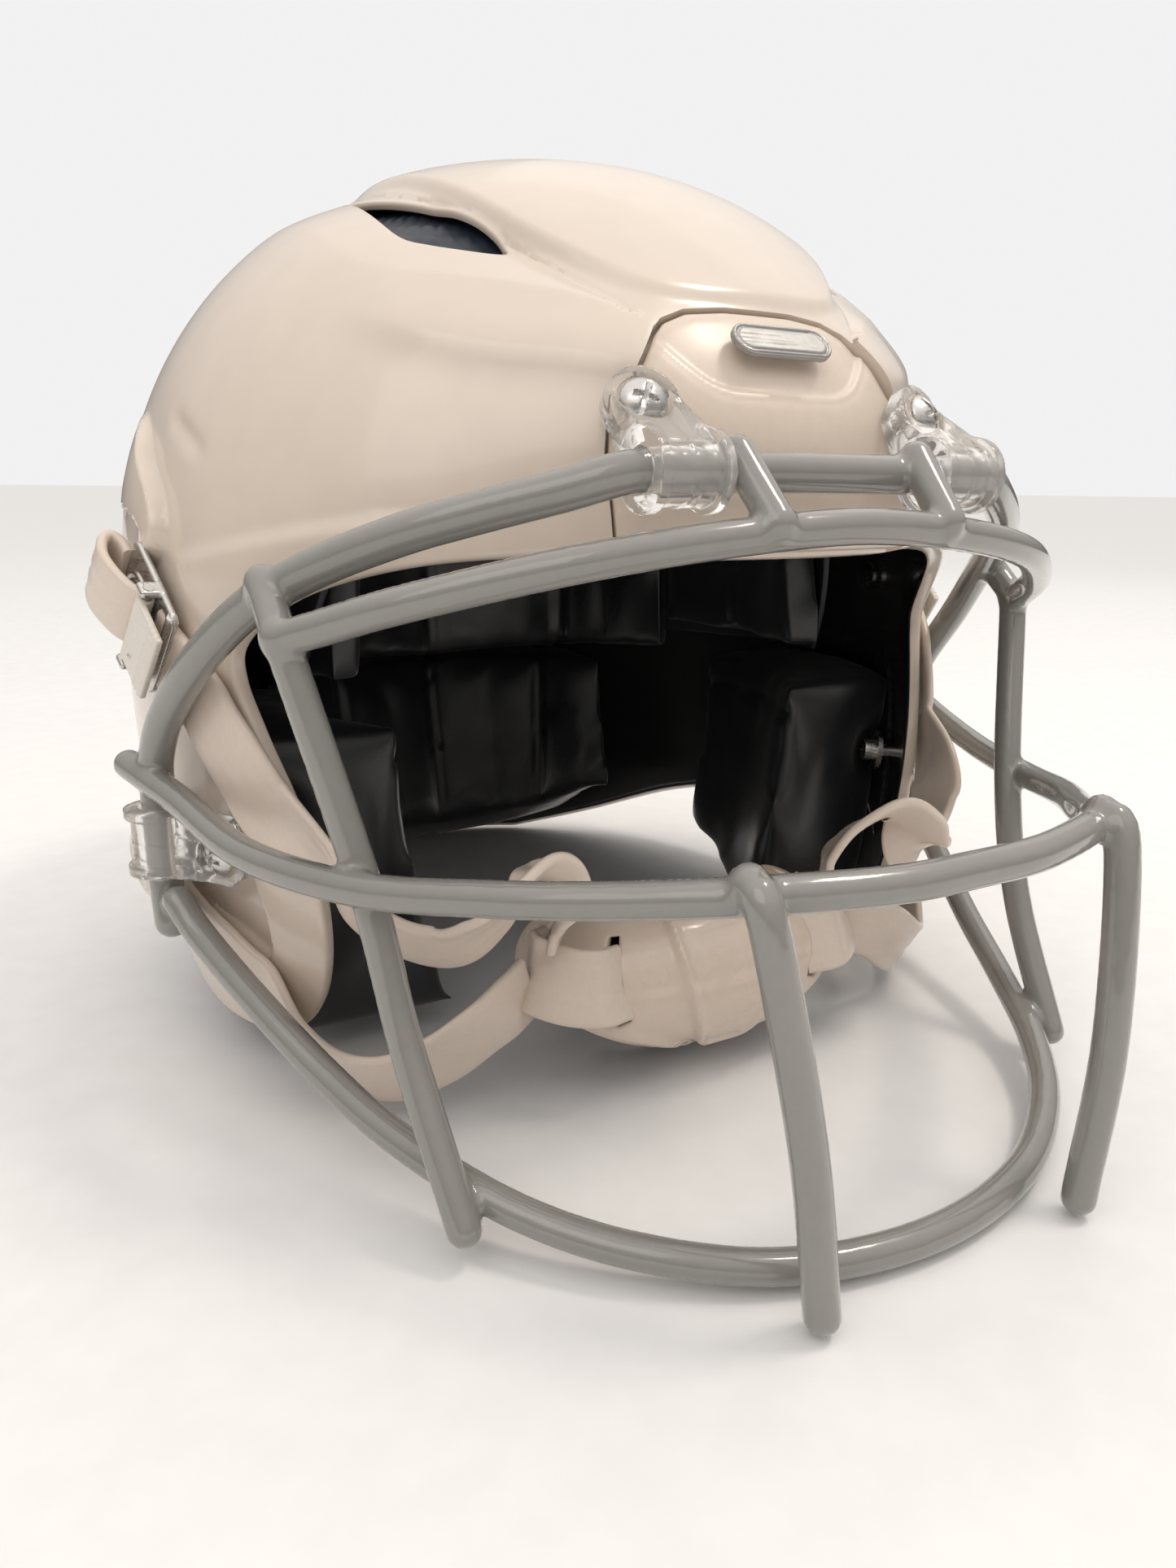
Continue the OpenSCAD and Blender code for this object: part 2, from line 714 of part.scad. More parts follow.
centred() shell();
centred() front_bumper();
centred() rear_bumper();
centred() badge();
centred() vent_screens();
centred() facemask();
centred() top_clip_right();
centred() top_clip_left();
centred() side_clip_right();
centred() side_clip_left();
centred() clip_screws();
centred() clip_nuts();
centred() strap_studs();
centred() buckle_right();
centred() buckle_left();
centred() lever_pin_right();
centred() lever_pin_left();
centred() buckle_lever_right();
centred() buckle_lever_left();
centred() lower_snap_right();
centred() lower_snap_left();
centred() upper_strap_right();
centred() upper_strap_left();
centred() lower_strap_right();
centred() lower_strap_left();
centred() chin_cup();
centred() chin_cup_pad();
centred() shock_absorbers();
centred() bonnet();
centred() brow_pad();
centred() crown_pad();
centred() side_pad_right();
centred() side_pad_left();
centred() rear_pad();
centred() neck_pad();
centred() jaw_pad_right();
centred() jaw_pad_left();
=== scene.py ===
"""American football helmet: the looks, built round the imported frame. Lengths are in mm until a mesh is made."""

import json
import math

import bpy
import numpy as np
from mathutils import Matrix, Vector


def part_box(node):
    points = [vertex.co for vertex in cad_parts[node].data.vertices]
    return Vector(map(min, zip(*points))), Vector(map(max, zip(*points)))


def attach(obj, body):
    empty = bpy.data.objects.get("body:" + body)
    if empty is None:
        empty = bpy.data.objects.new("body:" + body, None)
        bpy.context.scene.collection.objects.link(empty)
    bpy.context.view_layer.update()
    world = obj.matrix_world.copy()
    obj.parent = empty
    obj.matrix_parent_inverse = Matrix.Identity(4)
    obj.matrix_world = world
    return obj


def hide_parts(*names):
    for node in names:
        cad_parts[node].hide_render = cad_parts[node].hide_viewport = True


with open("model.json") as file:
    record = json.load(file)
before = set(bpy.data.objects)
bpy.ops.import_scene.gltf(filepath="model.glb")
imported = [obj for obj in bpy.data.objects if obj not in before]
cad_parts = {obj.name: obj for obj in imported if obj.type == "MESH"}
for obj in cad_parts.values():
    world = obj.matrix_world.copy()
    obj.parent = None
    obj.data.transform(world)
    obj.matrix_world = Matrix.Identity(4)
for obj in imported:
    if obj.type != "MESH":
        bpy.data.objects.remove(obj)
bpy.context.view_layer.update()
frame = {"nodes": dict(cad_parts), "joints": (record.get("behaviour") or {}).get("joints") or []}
MM = 0.001


# ---------------------------------------------------------------- vectors and curves

def unit(v):
    v = np.asarray(v, float)
    return v / np.maximum(np.linalg.norm(v, axis=-1, keepdims=True), 1e-12)


def smooth(t):
    t = np.clip(t, 0, 1)
    return t * t * (3 - 2 * t)


def catmull(points, n):
    """Catmull-Rom curve through points, with n steps between two points."""
    p = np.asarray(points, float)
    p = np.concatenate([[2 * p[0] - p[1]], p, [2 * p[-1] - p[-2]]])
    out = []
    for i in range(1, len(p) - 2):
        a, b, c, d = p[i - 1:i + 3]
        for k in range(n):
            t = k / n
            out.append(b + t / 2 * (c - a + t * (2 * a - 5 * b + 4 * c - d + t * (3 * (b - c) + d - a))))
    out.append(p[-2])
    return np.array(out)


def resample(path, step):
    """The same path with points about one step apart."""
    path = np.asarray(path, float)
    s = np.concatenate([[0], np.cumsum(np.linalg.norm(np.diff(path, axis=0), axis=1))])
    n = max(2, int(round(s[-1] / step)) + 1)
    t = np.linspace(0, s[-1], n)
    return np.stack([np.interp(t, s, path[:, k]) for k in range(path.shape[1])], axis=1)


def mirrored(points):
    return [[-p[0], p[1], p[2]] for p in points]


def both_halves(points):
    """A path from the wearer's left to the middle, continued to the right."""
    return list(points) + mirrored(points[-2::-1])


def flat_sdf(q, polygon):
    """Signed distance of 2-D points to a closed polygon, positive inside."""
    poly = np.asarray(polygon, float)
    best = np.full(len(q), 1e18)
    inside = np.zeros(len(q), bool)
    for i in range(len(poly)):
        a, b = poly[i], poly[(i + 1) % len(poly)]
        e = b - a
        w = q - a
        t = np.clip((w @ e) / max(e @ e, 1e-12), 0, 1)
        best = np.minimum(best, ((w - t[:, None] * e) ** 2).sum(1))
        if a[1] != b[1]:
            crosses = (a[1] > q[:, 1]) != (b[1] > q[:, 1])
            inside ^= crosses & (q[:, 0] < e[0] * (q[:, 1] - a[1]) / e[1] + a[0])
    return np.where(inside, 1, -1) * np.sqrt(best)


def along_line(p, normals, path):
    """Signed distance of points to a line on the surface, positive on its left, and the share s along it."""
    path = np.asarray(path, float)
    seg = np.diff(path, axis=0)
    length = np.linalg.norm(seg, axis=1)
    start = np.concatenate([[0], np.cumsum(length)])
    best = np.full(len(p), 1e18)
    side = np.zeros(len(p))
    s = np.zeros(len(p))
    for i, e in enumerate(seg):
        w = p - path[i]
        t = np.clip((w @ e) / (e @ e), 0, 1)
        off = w - t[:, None] * e
        d2 = (off ** 2).sum(1)
        near = d2 < best - 1e-9
        best[near] = d2[near]
        left = np.cross(normals[near], e)
        side[near] = np.sign((left * w[near]).sum(1))
        s[near] = (start[i] + t[near] * length[i]) / start[-1]
    return np.sqrt(best) * side, s


# ---------------------------------------------------------------- the egg that the shell follows

# Shapes are laid out about the shell's centre; PLACED takes them to the part's own frame.
SHELL_REAR = 150.0
PLACED = np.array([0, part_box("shell")[1][1] / MM - SHELL_REAR, 0])
EGG_Z = 110.0


def box_mm(node):
    return [np.array(c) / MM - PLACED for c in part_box(node)]


shell_hi = box_mm("shell")[1]


class Egg:
    """An egg with its own half-axes to the front, back, top and bottom, as in the CAD source."""

    def __init__(self, centre, half_w, front, rear, up, down, plan_e, side_e):
        self.c = np.array(centre, float)
        self.axes = (half_w, front, rear, up, down)
        self.plan_e, self.side_e = plan_e, side_e

    def scaled(self, v, d=0.0):
        half_w, front, rear, up, down = self.axes
        x = np.abs(v[:, 0]) / (half_w - d)
        y = np.abs(v[:, 1]) / (np.where(v[:, 1] < 0, front, rear) - d)
        z = np.abs(v[:, 2]) / (np.where(v[:, 2] > 0, up, down) - d)
        return x, y, z

    def reach(self, v, d=0.0):
        x, y, z = self.scaled(v, d)
        plan = (x ** self.plan_e + y ** self.plan_e) ** (1 / self.plan_e)
        return (plan ** self.side_e + z ** self.side_e) ** (-1 / self.side_e)

    def skin(self, v, d=0.0):
        return self.c + self.reach(v, d)[:, None] * v

    def normal(self, v):
        half_w, front, rear, up, down = self.axes
        p = self.reach(v)[:, None] * v
        x, y, z = self.scaled(p)
        plan = (x ** self.plan_e + y ** self.plan_e + 1e-12) ** (self.side_e / self.plan_e - 1)
        return unit(np.stack([
            np.sign(p[:, 0]) * plan * x ** (self.plan_e - 1) / half_w,
            np.sign(p[:, 1]) * plan * y ** (self.plan_e - 1) / np.where(p[:, 1] < 0, front, rear),
            np.sign(p[:, 2]) * z ** (self.side_e - 1) / np.where(p[:, 2] > 0, up, down)], axis=1))

    def lift(self, x=None, y=None, z=None):
        """The point of the surface with two of its coordinates known; the third is on the +X, -Y or +Z side."""
        half_w, front, rear, up, down = self.axes
        if z is None:
            plan = (abs(x / half_w) ** self.plan_e + abs(y / (front if y < 0 else rear)) ** self.plan_e)
            z = self.c[2] + up * max(1 - plan ** (self.side_e / self.plan_e), 0) ** (1 / self.side_e)
            return [x, y, z]
        rise = abs((z - self.c[2]) / (up if z > self.c[2] else down)) ** self.side_e
        level = max(1 - rise, 0) ** (self.plan_e / self.side_e)
        if x is None:
            b = front if y < 0 else rear
            return [half_w * max(level - abs(y / b) ** self.plan_e, 0) ** (1 / self.plan_e), y, z]
        return [x, -front * max(level - abs(x / half_w) ** self.plan_e, 0) ** (1 / self.plan_e), z]


SHELL = Egg([0, 0, EGG_Z], shell_hi[0], 117.0, shell_hi[1], shell_hi[2] - EGG_Z, 214.0, 1.94, 2.28)
CUP = Egg([0, -68, 27], 54, 40, 40, 24, 24, 2.3, 2.3)
WALL = 4.0
BROW_SWELL = 8.5
BUMPER_T = 4.0
SEAM = 0.6


def heading(az, el):
    az, el = np.radians(np.asarray(az, float)), np.radians(np.asarray(el, float))
    az, el = np.broadcast_arrays(az, el)
    return np.stack([np.sin(az) * np.cos(el), -np.cos(az) * np.cos(el), np.sin(el)], axis=-1)


def angles(v):
    return np.degrees(np.arctan2(v[:, 0], -v[:, 1])), np.degrees(np.arcsin(np.clip(v[:, 2], -1, 1)))


def swell(v):
    az, el = angles(v)
    return BROW_SWELL * np.exp(-(az / 30) ** 4) * np.exp(-((el - 27) / 17) ** 2)


def tops(points):
    return [SHELL.lift(x=x, y=y) for x, y in points]


def flanks(points):
    return [SHELL.lift(y=y, z=z) for y, z in points]


def fronts(points):
    return [SHELL.lift(x=x, z=z) for x, z in points]


# Lines that the shell's relief follows, on the wearer's left, mirrored by |x|.
DOME_LINE = catmull(tops([(0, 116), (20, 110), (34, 90), (44, 60), (50, 28), (52, 0), (50.5, -24), (47, -51),
                          (41, -71), (33.5, -83), (27, -90), (20, -93.6), (11, -95.6), (0, -96.2)]), 5)
SEAM_LINE = catmull(tops([(0, 126), (24, 119), (40, 99), (52, 68), (56.5, 38), (58, 12), (57.5, -12), (55.5, -31),
                          (51.5, -50), (47, -66.5), (41.5, -79), (35.5, -88.5), (28, -97)]), 5)
CREASE_LINE = catmull(tops([(82, 30), (80, 8), (78, -14), (77, -38), (75, -52), (70, -61.5), (61, -71.5),
                            (51, -80.5), (41, -88.3), (33, -94)]), 5)
LOWER_CREASE = catmull(fronts([(82, 189), (76, 186.5), (68, 182.5), (55, 178), (44, 175.5), (34, 173),
                               (24, 170.5)]), 5)
BROW_LINE = catmull(flanks([(-24, 133), (-40, 135.5), (-56, 139), (-70, 142), (-82, 144.5), (-94, 146)]), 5)
FIN_LINE = catmull(flanks([(14, 170), (0, 168), (-10, 163), (-17, 157), (-24, 151.5), (-28.5, 146.5), (-31, 140.5),
                           (-29, 135), (-23, 131.5), (-14, 130)]), 5)
GROOVE_LINE = catmull(flanks([(-21, 167), (-28, 164.5), (-36, 160.5), (-44, 156.5)]), 5)
JAW_LINE = catmull(flanks([(-22, 108), (-33, 103), (-42, 93), (-48, 80), (-51.5, 64), (-54, 48), (-53, 38),
                           (-49, 31)]), 5)
JAW_BACK = catmull(flanks([(-46, 31), (-36, 40), (-22, 50), (-8, 56)]), 5)
REAR_LINE = catmull(flanks([(46, 196), (66, 176), (84, 150), (96, 120), (100, 92), (92, 66)]), 5)


SEAM_LIP = 0.5


def folded(points):
    """Points or normals brought to the wearer's left."""
    return np.stack([np.abs(points[:, 0]), points[:, 1], points[:, 2]], axis=1)


def beside(line, reach, m, nm):
    """Which points m, with normals nm, are within reach of a line, and what along_line says of them."""
    lo, hi = line.min(0) - reach, line.max(0) + reach
    i = np.flatnonzero(((m > lo) & (m < hi)).all(1))
    return i, *along_line(m[i], nm[i], line)


def relief(v, p, n):
    """How far the shell stands out of the plain egg, from moulded ridges, channels and recesses."""
    m, nm = folded(p), folded(n)
    out = np.zeros(len(p))

    # Crown: the dome, the band round it, and the channel that the slot sits in.
    i, d_seam, _ = beside(SEAM_LINE, 60, m, nm)
    d_top = along_line(m[i], nm[i], DOME_LINE)[0]
    d_crease = along_line(m[i], nm[i], CREASE_LINE)[0]
    y = m[i, 1]
    at_bumper = 0.42 + 0.58 * smooth((y + 97) / 26)
    sunk = -(1.3 + 1.7 * smooth((40 - y) / 90)) * at_bumper
    strip = sunk * smooth(d_top / 5.0)
    share = np.clip(d_seam / np.maximum(d_seam - d_crease, 1e-3), 0, 1)
    share = np.where(d_crease > 0, 1, share)
    front = smooth((30 - y) / 60)
    level = 1 - share
    channel = front * (sunk - 0.9 * at_bumper) * (0.9 * level + 0.1 * smooth(level))
    channel += (1 - front) * (sunk - 0.5) * smooth(1 - (d_seam - 4) / 26)
    lip = smooth((d_seam + SEAM_LIP) / (2 * SEAM_LIP))
    out[i] += np.where(d_seam > -SEAM_LIP, strip * (1 - lip) + channel * lip, strip)

    # Soft crease under the channel, fading out towards the side.
    i, d, s = beside(LOWER_CREASE, 30, m, nm)
    amp = smooth(s / 0.35) * 1.5
    up_side = np.exp(-(d / 11) ** 2)
    down_side = np.exp(-(d / 5) ** 2)
    out[i] += 1.25 * amp * np.where(d < 0, up_side, down_side) * smooth((1 - s) / 0.1)

    # Crease over the brow and cheek.
    i, d, s = beside(BROW_LINE, 34, m, nm)
    amp = smooth(s / 0.25) * smooth((1 - s) / 0.3)
    out[i] += amp * (1.3 * smooth((d + 2) / 5) * np.exp(-np.maximum(d, 0) ** 2 / 22 ** 2))

    # Raised ear panel that ends in a fin over the buckle.
    i, d, s = beside(FIN_LINE, 40, m, nm)
    amp = smooth(s / 0.45) * smooth((1 - s) / 0.22)
    behind = smooth((d + 0.4) / 2.2) * np.exp(-np.maximum(d - 2, 0) ** 2 / 26 ** 2)
    ahead = -0.8 * np.exp(-(np.minimum(d + 1, 0) / 9) ** 2) * smooth((0.5 - d) / 1.5)
    out[i] += amp * (3.2 * behind + ahead)

    # Short groove over the buckle.
    i, d, s = beside(GROOVE_LINE, 12, m, nm)
    amp = smooth(s / 0.25) * smooth((1 - s) / 0.35)
    out[i] -= 0.9 * amp * np.exp(-(d / 2.6) ** 2)

    # Recessed jaw panel that the side clip sits in.
    i, d, s = beside(JAW_LINE, 46, m, nm)
    amp = smooth(s / 0.3) * smooth((1 - s) / 0.08)
    low = along_line(m[i], nm[i], JAW_BACK)[0]
    floor_cut = smooth((low + 1) / 3.5)
    out[i] -= amp * 2.7 * smooth((d + 0.6) / 2.6) * np.exp(-np.maximum(d - 4, 0) ** 2 / 24 ** 2) * floor_cut

    # Long shallow crease round the back.
    i, d, s = beside(REAR_LINE, 40, m, nm)
    amp = smooth(s / 0.2) * smooth((1 - s) / 0.3)
    out[i] -= 1.3 * amp * smooth((d + 3) / 6) * np.exp(-np.maximum(d, 0) ** 2 / 18 ** 2)
    return out


def shell_skin(v):
    p = SHELL.skin(v)
    n = SHELL.normal(v)
    return p + (swell(v)[:, None]) * v + relief(v, p, n)[:, None] * n


OPENING = np.concatenate([
    [(-260, 138), (-160, 138)],
    catmull([(-112, 138), (-104, 138), (-88, 135), (-70, 127.5), (-57, 116.5), (-55.5, 108), (-60, 95), (-66.5, 77),
             (-69.5, 58), (-67, 36), (-59, 20), (-43, 12), (-18, 11.5), (6, 21), (34, 30), (70, 23.5), (104, 8),
             (122, 0)], 6),
    [(260, 0), (260, -140), (-260, -140)]])
SLOT = catmull([(63.5, -8), (65.5, -22), (66.3, -40), (65, -54), (60.5, -62), (54, -69), (48, -73.6), (46.3, -72),
                (48.5, -62), (53, -48), (58.5, -31), (61.5, -19), (63.5, -8)], 4)[:-1]
BUMPER_HALF = [(41, 120), (41, 141), (42.3, 157), (41.3, 164), (28.3, 183), (25, 186.2), (19, 188.6), (9, 189.6)]
BUMPER = np.array([(-x, z) for x, z in BUMPER_HALF] + BUMPER_HALF[::-1], float)
BADGE_HALF = [(-31, 186), (-27.5, 180.5), (-21, 174), (-15.5, 171.4), (-9, 170.8)]
BADGE_PANEL = catmull(BADGE_HALF + [(-x, z) for x, z in BADGE_HALF[::-1]], 3)
BADGE_PANEL = np.concatenate([BADGE_PANEL, [(31, 205), (-31, 205)]])


def skin_frame(az, el):
    v = heading([az], [el])
    return SHELL.skin(v)[0], SHELL.normal(v)[0]


HOLES = [(*skin_frame(s * az, el), r) for az, el, r in ((99, -22, 12), (148, 26, 9)) for s in (-1, 1)]


def g_open(v):
    p = SHELL.skin(v) + swell(v)[:, None] * v
    return flat_sdf(p[:, 1:], OPENING) + 1.2


def g_slot(v):
    p = SHELL.skin(v)
    g = flat_sdf(np.stack([np.abs(p[:, 0]), p[:, 1]], axis=1), SLOT) + 0.9
    return np.where(v[:, 2] > 0, g, -9)


def g_through(v):
    g = np.maximum(g_open(v), g_slot(v))
    p = SHELL.skin(v)
    for c, n, r in HOLES:
        w = p - c
        radial = np.linalg.norm(w - (w @ n)[:, None] * n, axis=1)
        g = np.maximum(g, np.where(np.linalg.norm(w, axis=1) < 3 * r, r + 1 - radial, -9))
    return g


def line_offset(v, line, offset):
    """Distance past a relief line, for directions v; far from the line it is held clear of zero."""
    out = np.full(len(v), 40.0)
    i, d, _ = beside(line, 25, folded(SHELL.skin(v)), folded(SHELL.normal(v)))
    out[i] = d - offset
    return out


def g_bumper(v):
    p = SHELL.skin(v) + swell(v)[:, None] * v
    g = flat_sdf(p[:, [0, 2]], BUMPER)
    return np.where(v[:, 1] < 0, g, -9)


# ---------------------------------------------------------------- closed sheets cut from a grid of directions

def split(v, f, g_of, locked):
    """Cuts the triangles f along g = 0, and tells which are inside and which vertices lie on a cut.
    Vertices close to the line move onto it, unless locked."""
    v = v.copy()
    g = g_of(v)
    edges = np.unique(np.sort(np.concatenate([f[:, [0, 1]], f[:, [1, 2]], f[:, [2, 0]]]), axis=1), axis=0)

    def crossed():
        e = edges[g[edges[:, 0]] * g[edges[:, 1]] < 0]
        return e, g[e[:, 0]] / (g[e[:, 0]] - g[e[:, 1]])

    e, t = crossed()
    moved = set(np.flatnonzero(locked).tolist())
    for i in np.argsort(np.minimum(t, 1 - t)):
        if min(t[i], 1 - t[i]) > 0.3:
            break
        k = e[i, 0] if t[i] < 0.5 else e[i, 1]
        if k not in moved:
            moved.add(k)
            v[k] = v[e[i, 0]] * (1 - t[i]) + v[e[i, 1]] * t[i]
            g[k] = 0
    g[np.abs(g) < 1e-7] = 0
    e, t = crossed()
    fresh = {(int(a), int(b)): len(v) + i for i, (a, b) in enumerate(e)}
    v = np.concatenate([v, v[e[:, 0]] * (1 - t)[:, None] + v[e[:, 1]] * t[:, None]])
    sign = np.sign(np.concatenate([g, np.zeros(len(e))]))
    on_cut = np.concatenate([locked, np.zeros(len(e), bool)]) | (sign == 0)
    mixed = (sign[f].max(1) > 0) & (sign[f].min(1) < 0)
    parts = []
    for a, b, c in f[mixed].tolist():
        for _ in range(3):
            sa, sb, sc = sign[a], sign[b], sign[c]
            if (sa != 0 and sb * sc > 0 and sa * sb < 0) or (sa == 0 and sb * sc < 0):
                break
            a, b, c = b, c, a
        if sign[a] == 0:
            m = fresh[(min(b, c), max(b, c))]
            parts += [(a, b, m), (a, m, c)]
        else:
            m, o = fresh[(min(a, b), max(a, b))], fresh[(min(a, c), max(a, c))]
            parts += [(a, m, o), (m, b, c), (m, c, o)]
    f = np.concatenate([f[~mixed], np.array(parts, int).reshape(-1, 3)])
    inside = sign[f].max(1) > 0
    flat = (sign[f] == 0).all(1)
    if flat.any():
        inside[flat] = g_of(v[f[flat]].mean(1)) > 0
    return unit(v), f, inside, on_cut


def cut(v, f, g_of):
    """The triangles where g is above zero."""
    v, f, inside, _ = split(v, f, g_of, np.zeros(len(v), bool))
    return v, f[inside]


def directed(faces):
    return np.concatenate([np.stack([f, np.roll(f, -1, axis=1)], axis=2).reshape(-1, 2) for f in faces if len(f)])


def open_edges(faces):
    """Directed edges that no neighbouring face runs the other way."""
    e = directed(faces)
    big = int(e.max()) + 1
    key, back = e[:, 0] * big + e[:, 1], e[:, 1] * big + e[:, 0]
    return e[~np.isin(key, back)]


def close_sheet(outer, inner, normals, f_out, f_pocket=None, pocket=None, bulge=1.5, rows=6, power=0.62):
    """Closed mesh between an outer and an inner sheet over the same triangles, with a rounded rim.
    Triangles in f_pocket take their outer side from pocket, and a wall joins them to the rest."""
    n = len(outer)
    verts = [outer, inner if pocket is None else pocket, inner]
    tris, quads = [f_out], []
    every = f_out
    if pocket is not None:
        tris.append(f_pocket + n)
        a = directed([f_out])
        b = directed([f_pocket])
        wall = a[np.isin(a[:, 0] * n + a[:, 1], b[:, 1] * n + b[:, 0])]
        quads.append(np.stack([wall[:, 1], wall[:, 0], wall[:, 0] + n, wall[:, 1] + n], axis=1))
        every = np.concatenate([f_out, f_pocket])
    tris.append(every[:, ::-1] + 2 * n)
    rim = open_edges(tris[:-1] + quads)
    points = np.concatenate(verts)
    base = rim % n
    edge = points[rim[:, 1]] - points[rim[:, 0]]
    side = np.zeros((3 * n, 3))
    for k in (0, 1):
        lateral = unit(np.cross(edge, normals[base[:, k]]))
        lateral[base[:, 0] == base[:, 1]] = 0
        np.add.at(side, rim[:, k], lateral)
    for _ in range(3):
        again = side.copy()
        np.add.at(again, rim[:, 0], 0.5 * side[rim[:, 1]])
        np.add.at(again, rim[:, 1], 0.5 * side[rim[:, 0]])
        side = again
    side = unit(side)
    starts = np.unique(rim)
    column = -np.ones(3 * n, int)
    column[starts] = np.arange(len(starts))
    o, i = points[starts], inner[starts % n]
    mid, half = (o + i) / 2, (o - i) / 2
    rings = []
    for k in range(1, rows + 1):
        a = math.pi * k / (rows + 1)
        c = math.copysign(abs(math.cos(a)) ** power, math.cos(a))
        rings.append(mid + half * c + side[starts] * bulge * math.sin(a) ** power)
    first = 3 * n
    verts = [points] + rings
    prev = rim
    for k in range(rows):
        now = column[rim] + first + k * len(starts)
        quads.append(np.stack([prev[:, 1], prev[:, 0], now[:, 0], now[:, 1]], axis=1))
        prev = now
    last = base + 2 * n
    same = last[:, 0] == last[:, 1]
    quads.append(np.stack([prev[:, 1], prev[:, 0], last[:, 0], last[:, 1]], axis=1)[~same])
    tris.append(np.stack([prev[:, 1], prev[:, 0], last[:, 0]], axis=1)[same])
    return np.concatenate(verts), np.concatenate(tris), np.concatenate(quads)


def cells(idx):
    """Two triangles for each cell of a grid of vertex numbers."""
    p, q, r, s = (a.ravel() for a in (idx[:-1, :-1], idx[1:, :-1], idx[1:, 1:], idx[:-1, 1:]))
    return np.concatenate([np.stack([p, q, r], 1), np.stack([p, r, s], 1)])


def direction_cube(n):
    """Unit directions on a cube's grid spread over the sphere, and its triangles, wound outwards."""
    t = np.tan(np.linspace(-1, 1, n + 1) * math.pi / 4)
    a, b = np.meshgrid(t, t, indexing="ij")
    face = cells(np.arange((n + 1) ** 2).reshape(n + 1, n + 1))
    verts, tris = [], []
    for axis in range(3):
        for sign in (-1, 1):
            grid = [None] * 3
            grid[axis] = np.full_like(a, sign)
            grid[(axis + 1) % 3] = a
            grid[(axis + 2) % 3] = b
            tris.append((face if sign > 0 else face[:, ::-1]) + len(verts) * (n + 1) ** 2)
            verts.append(np.stack([g.ravel() for g in grid], axis=1))
    v = np.concatenate(verts)
    f = np.concatenate(tris)
    _, first, back = np.unique(np.round(v * 1e6).astype(np.int64), axis=0, return_index=True, return_inverse=True)
    return unit(v[first]), back.ravel()[f]


def direction_patch(az, el, na, ne):
    """Directions on an azimuth and elevation grid, and its triangles, wound outwards."""
    a, e = np.meshgrid(np.linspace(*az, na), np.linspace(*el, ne), indexing="ij")
    return heading(a.ravel(), e.ravel()), cells(np.arange(na * ne).reshape(na, ne))


# ---------------------------------------------------------------- solids from distance fields

def smooth_min(a, b, k):
    h = np.maximum(k - np.abs(a - b), 0) / k
    return np.minimum(a, b) - h * h * k / 4


def round_corner(a, b):
    """Distance past the corner of two square faces, from the distances past each."""
    return np.hypot(np.maximum(a, 0), np.maximum(b, 0))


def surface_net(field, lo, h):
    """Closed quads where the field changes sign."""
    neg = field < 0
    nx, ny, nz = field.shape
    total = np.zeros((nx - 1, ny - 1, nz - 1, 3), np.float32)
    count = np.zeros((nx - 1, ny - 1, nz - 1), np.float32)
    axes = np.eye(3, dtype=int)
    for ax in range(3):
        u, w = (ax + 1) % 3, (ax + 2) % 3
        for du in (0, 1):
            for dw in (0, 1):
                at = [slice(0, -1)] * 3
                to = [slice(0, -1)] * 3
                to[ax] = slice(1, None)
                for k, d in ((u, du), (w, dw)):
                    at[k] = to[k] = slice(1, None) if d else slice(0, -1)
                a, b = field[tuple(at)], field[tuple(to)]
                hit = neg[tuple(at)] != neg[tuple(to)]
                t = np.where(hit, a / np.where(hit, a - b, 1), 0)
                offset = axes[u] * du + axes[w] * dw
                total += hit[..., None] * offset
                total[..., ax] += t
                count += hit
    cells = count > 0
    ids = -np.ones(count.shape, int)
    ids[cells] = np.arange(cells.sum())
    where = np.argwhere(cells)
    verts = (where + total[cells] / count[cells][:, None]) * h + np.asarray(lo)
    quads = []
    for ax in range(3):
        u, w = (ax + 1) % 3, (ax + 2) % 3
        at, to = [slice(1, -1)] * 3, [slice(1, -1)] * 3
        at[ax], to[ax] = slice(0, -1), slice(1, None)
        a, b = neg[tuple(at)], neg[tuple(to)]
        spots = np.argwhere(a != b)
        rising = a[tuple(spots.T)]
        base = spots.copy()
        base[:, u] += 1
        base[:, w] += 1
        corner = []
        for du, dw in ((-1, -1), (0, -1), (0, 0), (-1, 0)):
            c = base.copy()
            c[:, u] += du
            c[:, w] += dw
            corner.append(ids[tuple(c.T)])
        q = np.stack(corner, axis=1)
        q[~rising] = q[~rising][:, ::-1]
        quads.append(q)
    return verts, np.concatenate(quads)


def settle(sdf, v, h, rounds=3):
    """Moves points onto the field's zero surface."""
    for _ in range(rounds):
        d = sdf(v)
        e = 0.05
        g = np.stack([sdf(v + np.array(s) * e) - d for s in ((1, 0, 0), (0, 1, 0), (0, 0, 1))], axis=1) / e
        step = d[:, None] * g / np.maximum((g ** 2).sum(1), 0.2)[:, None]
        size = np.linalg.norm(step, axis=1, keepdims=True)
        v = v - step * np.minimum(1, 0.6 * h / np.maximum(size, 1e-9))
    return v


def field_solid(sdf, lo, hi, h):
    """Mesh of a solid given as a distance function over a box: its vertices, no triangles, and quads."""
    axes = [np.arange(a - 2 * h, b + 3 * h, h) for a, b in zip(lo, hi)]
    grid = np.stack(np.meshgrid(*axes, indexing="ij"), axis=-1)
    field = sdf(grid.reshape(-1, 3)).reshape(grid.shape[:3])
    v, q = surface_net(field, [a[0] for a in axes], h)
    return settle(sdf, v, h), None, q


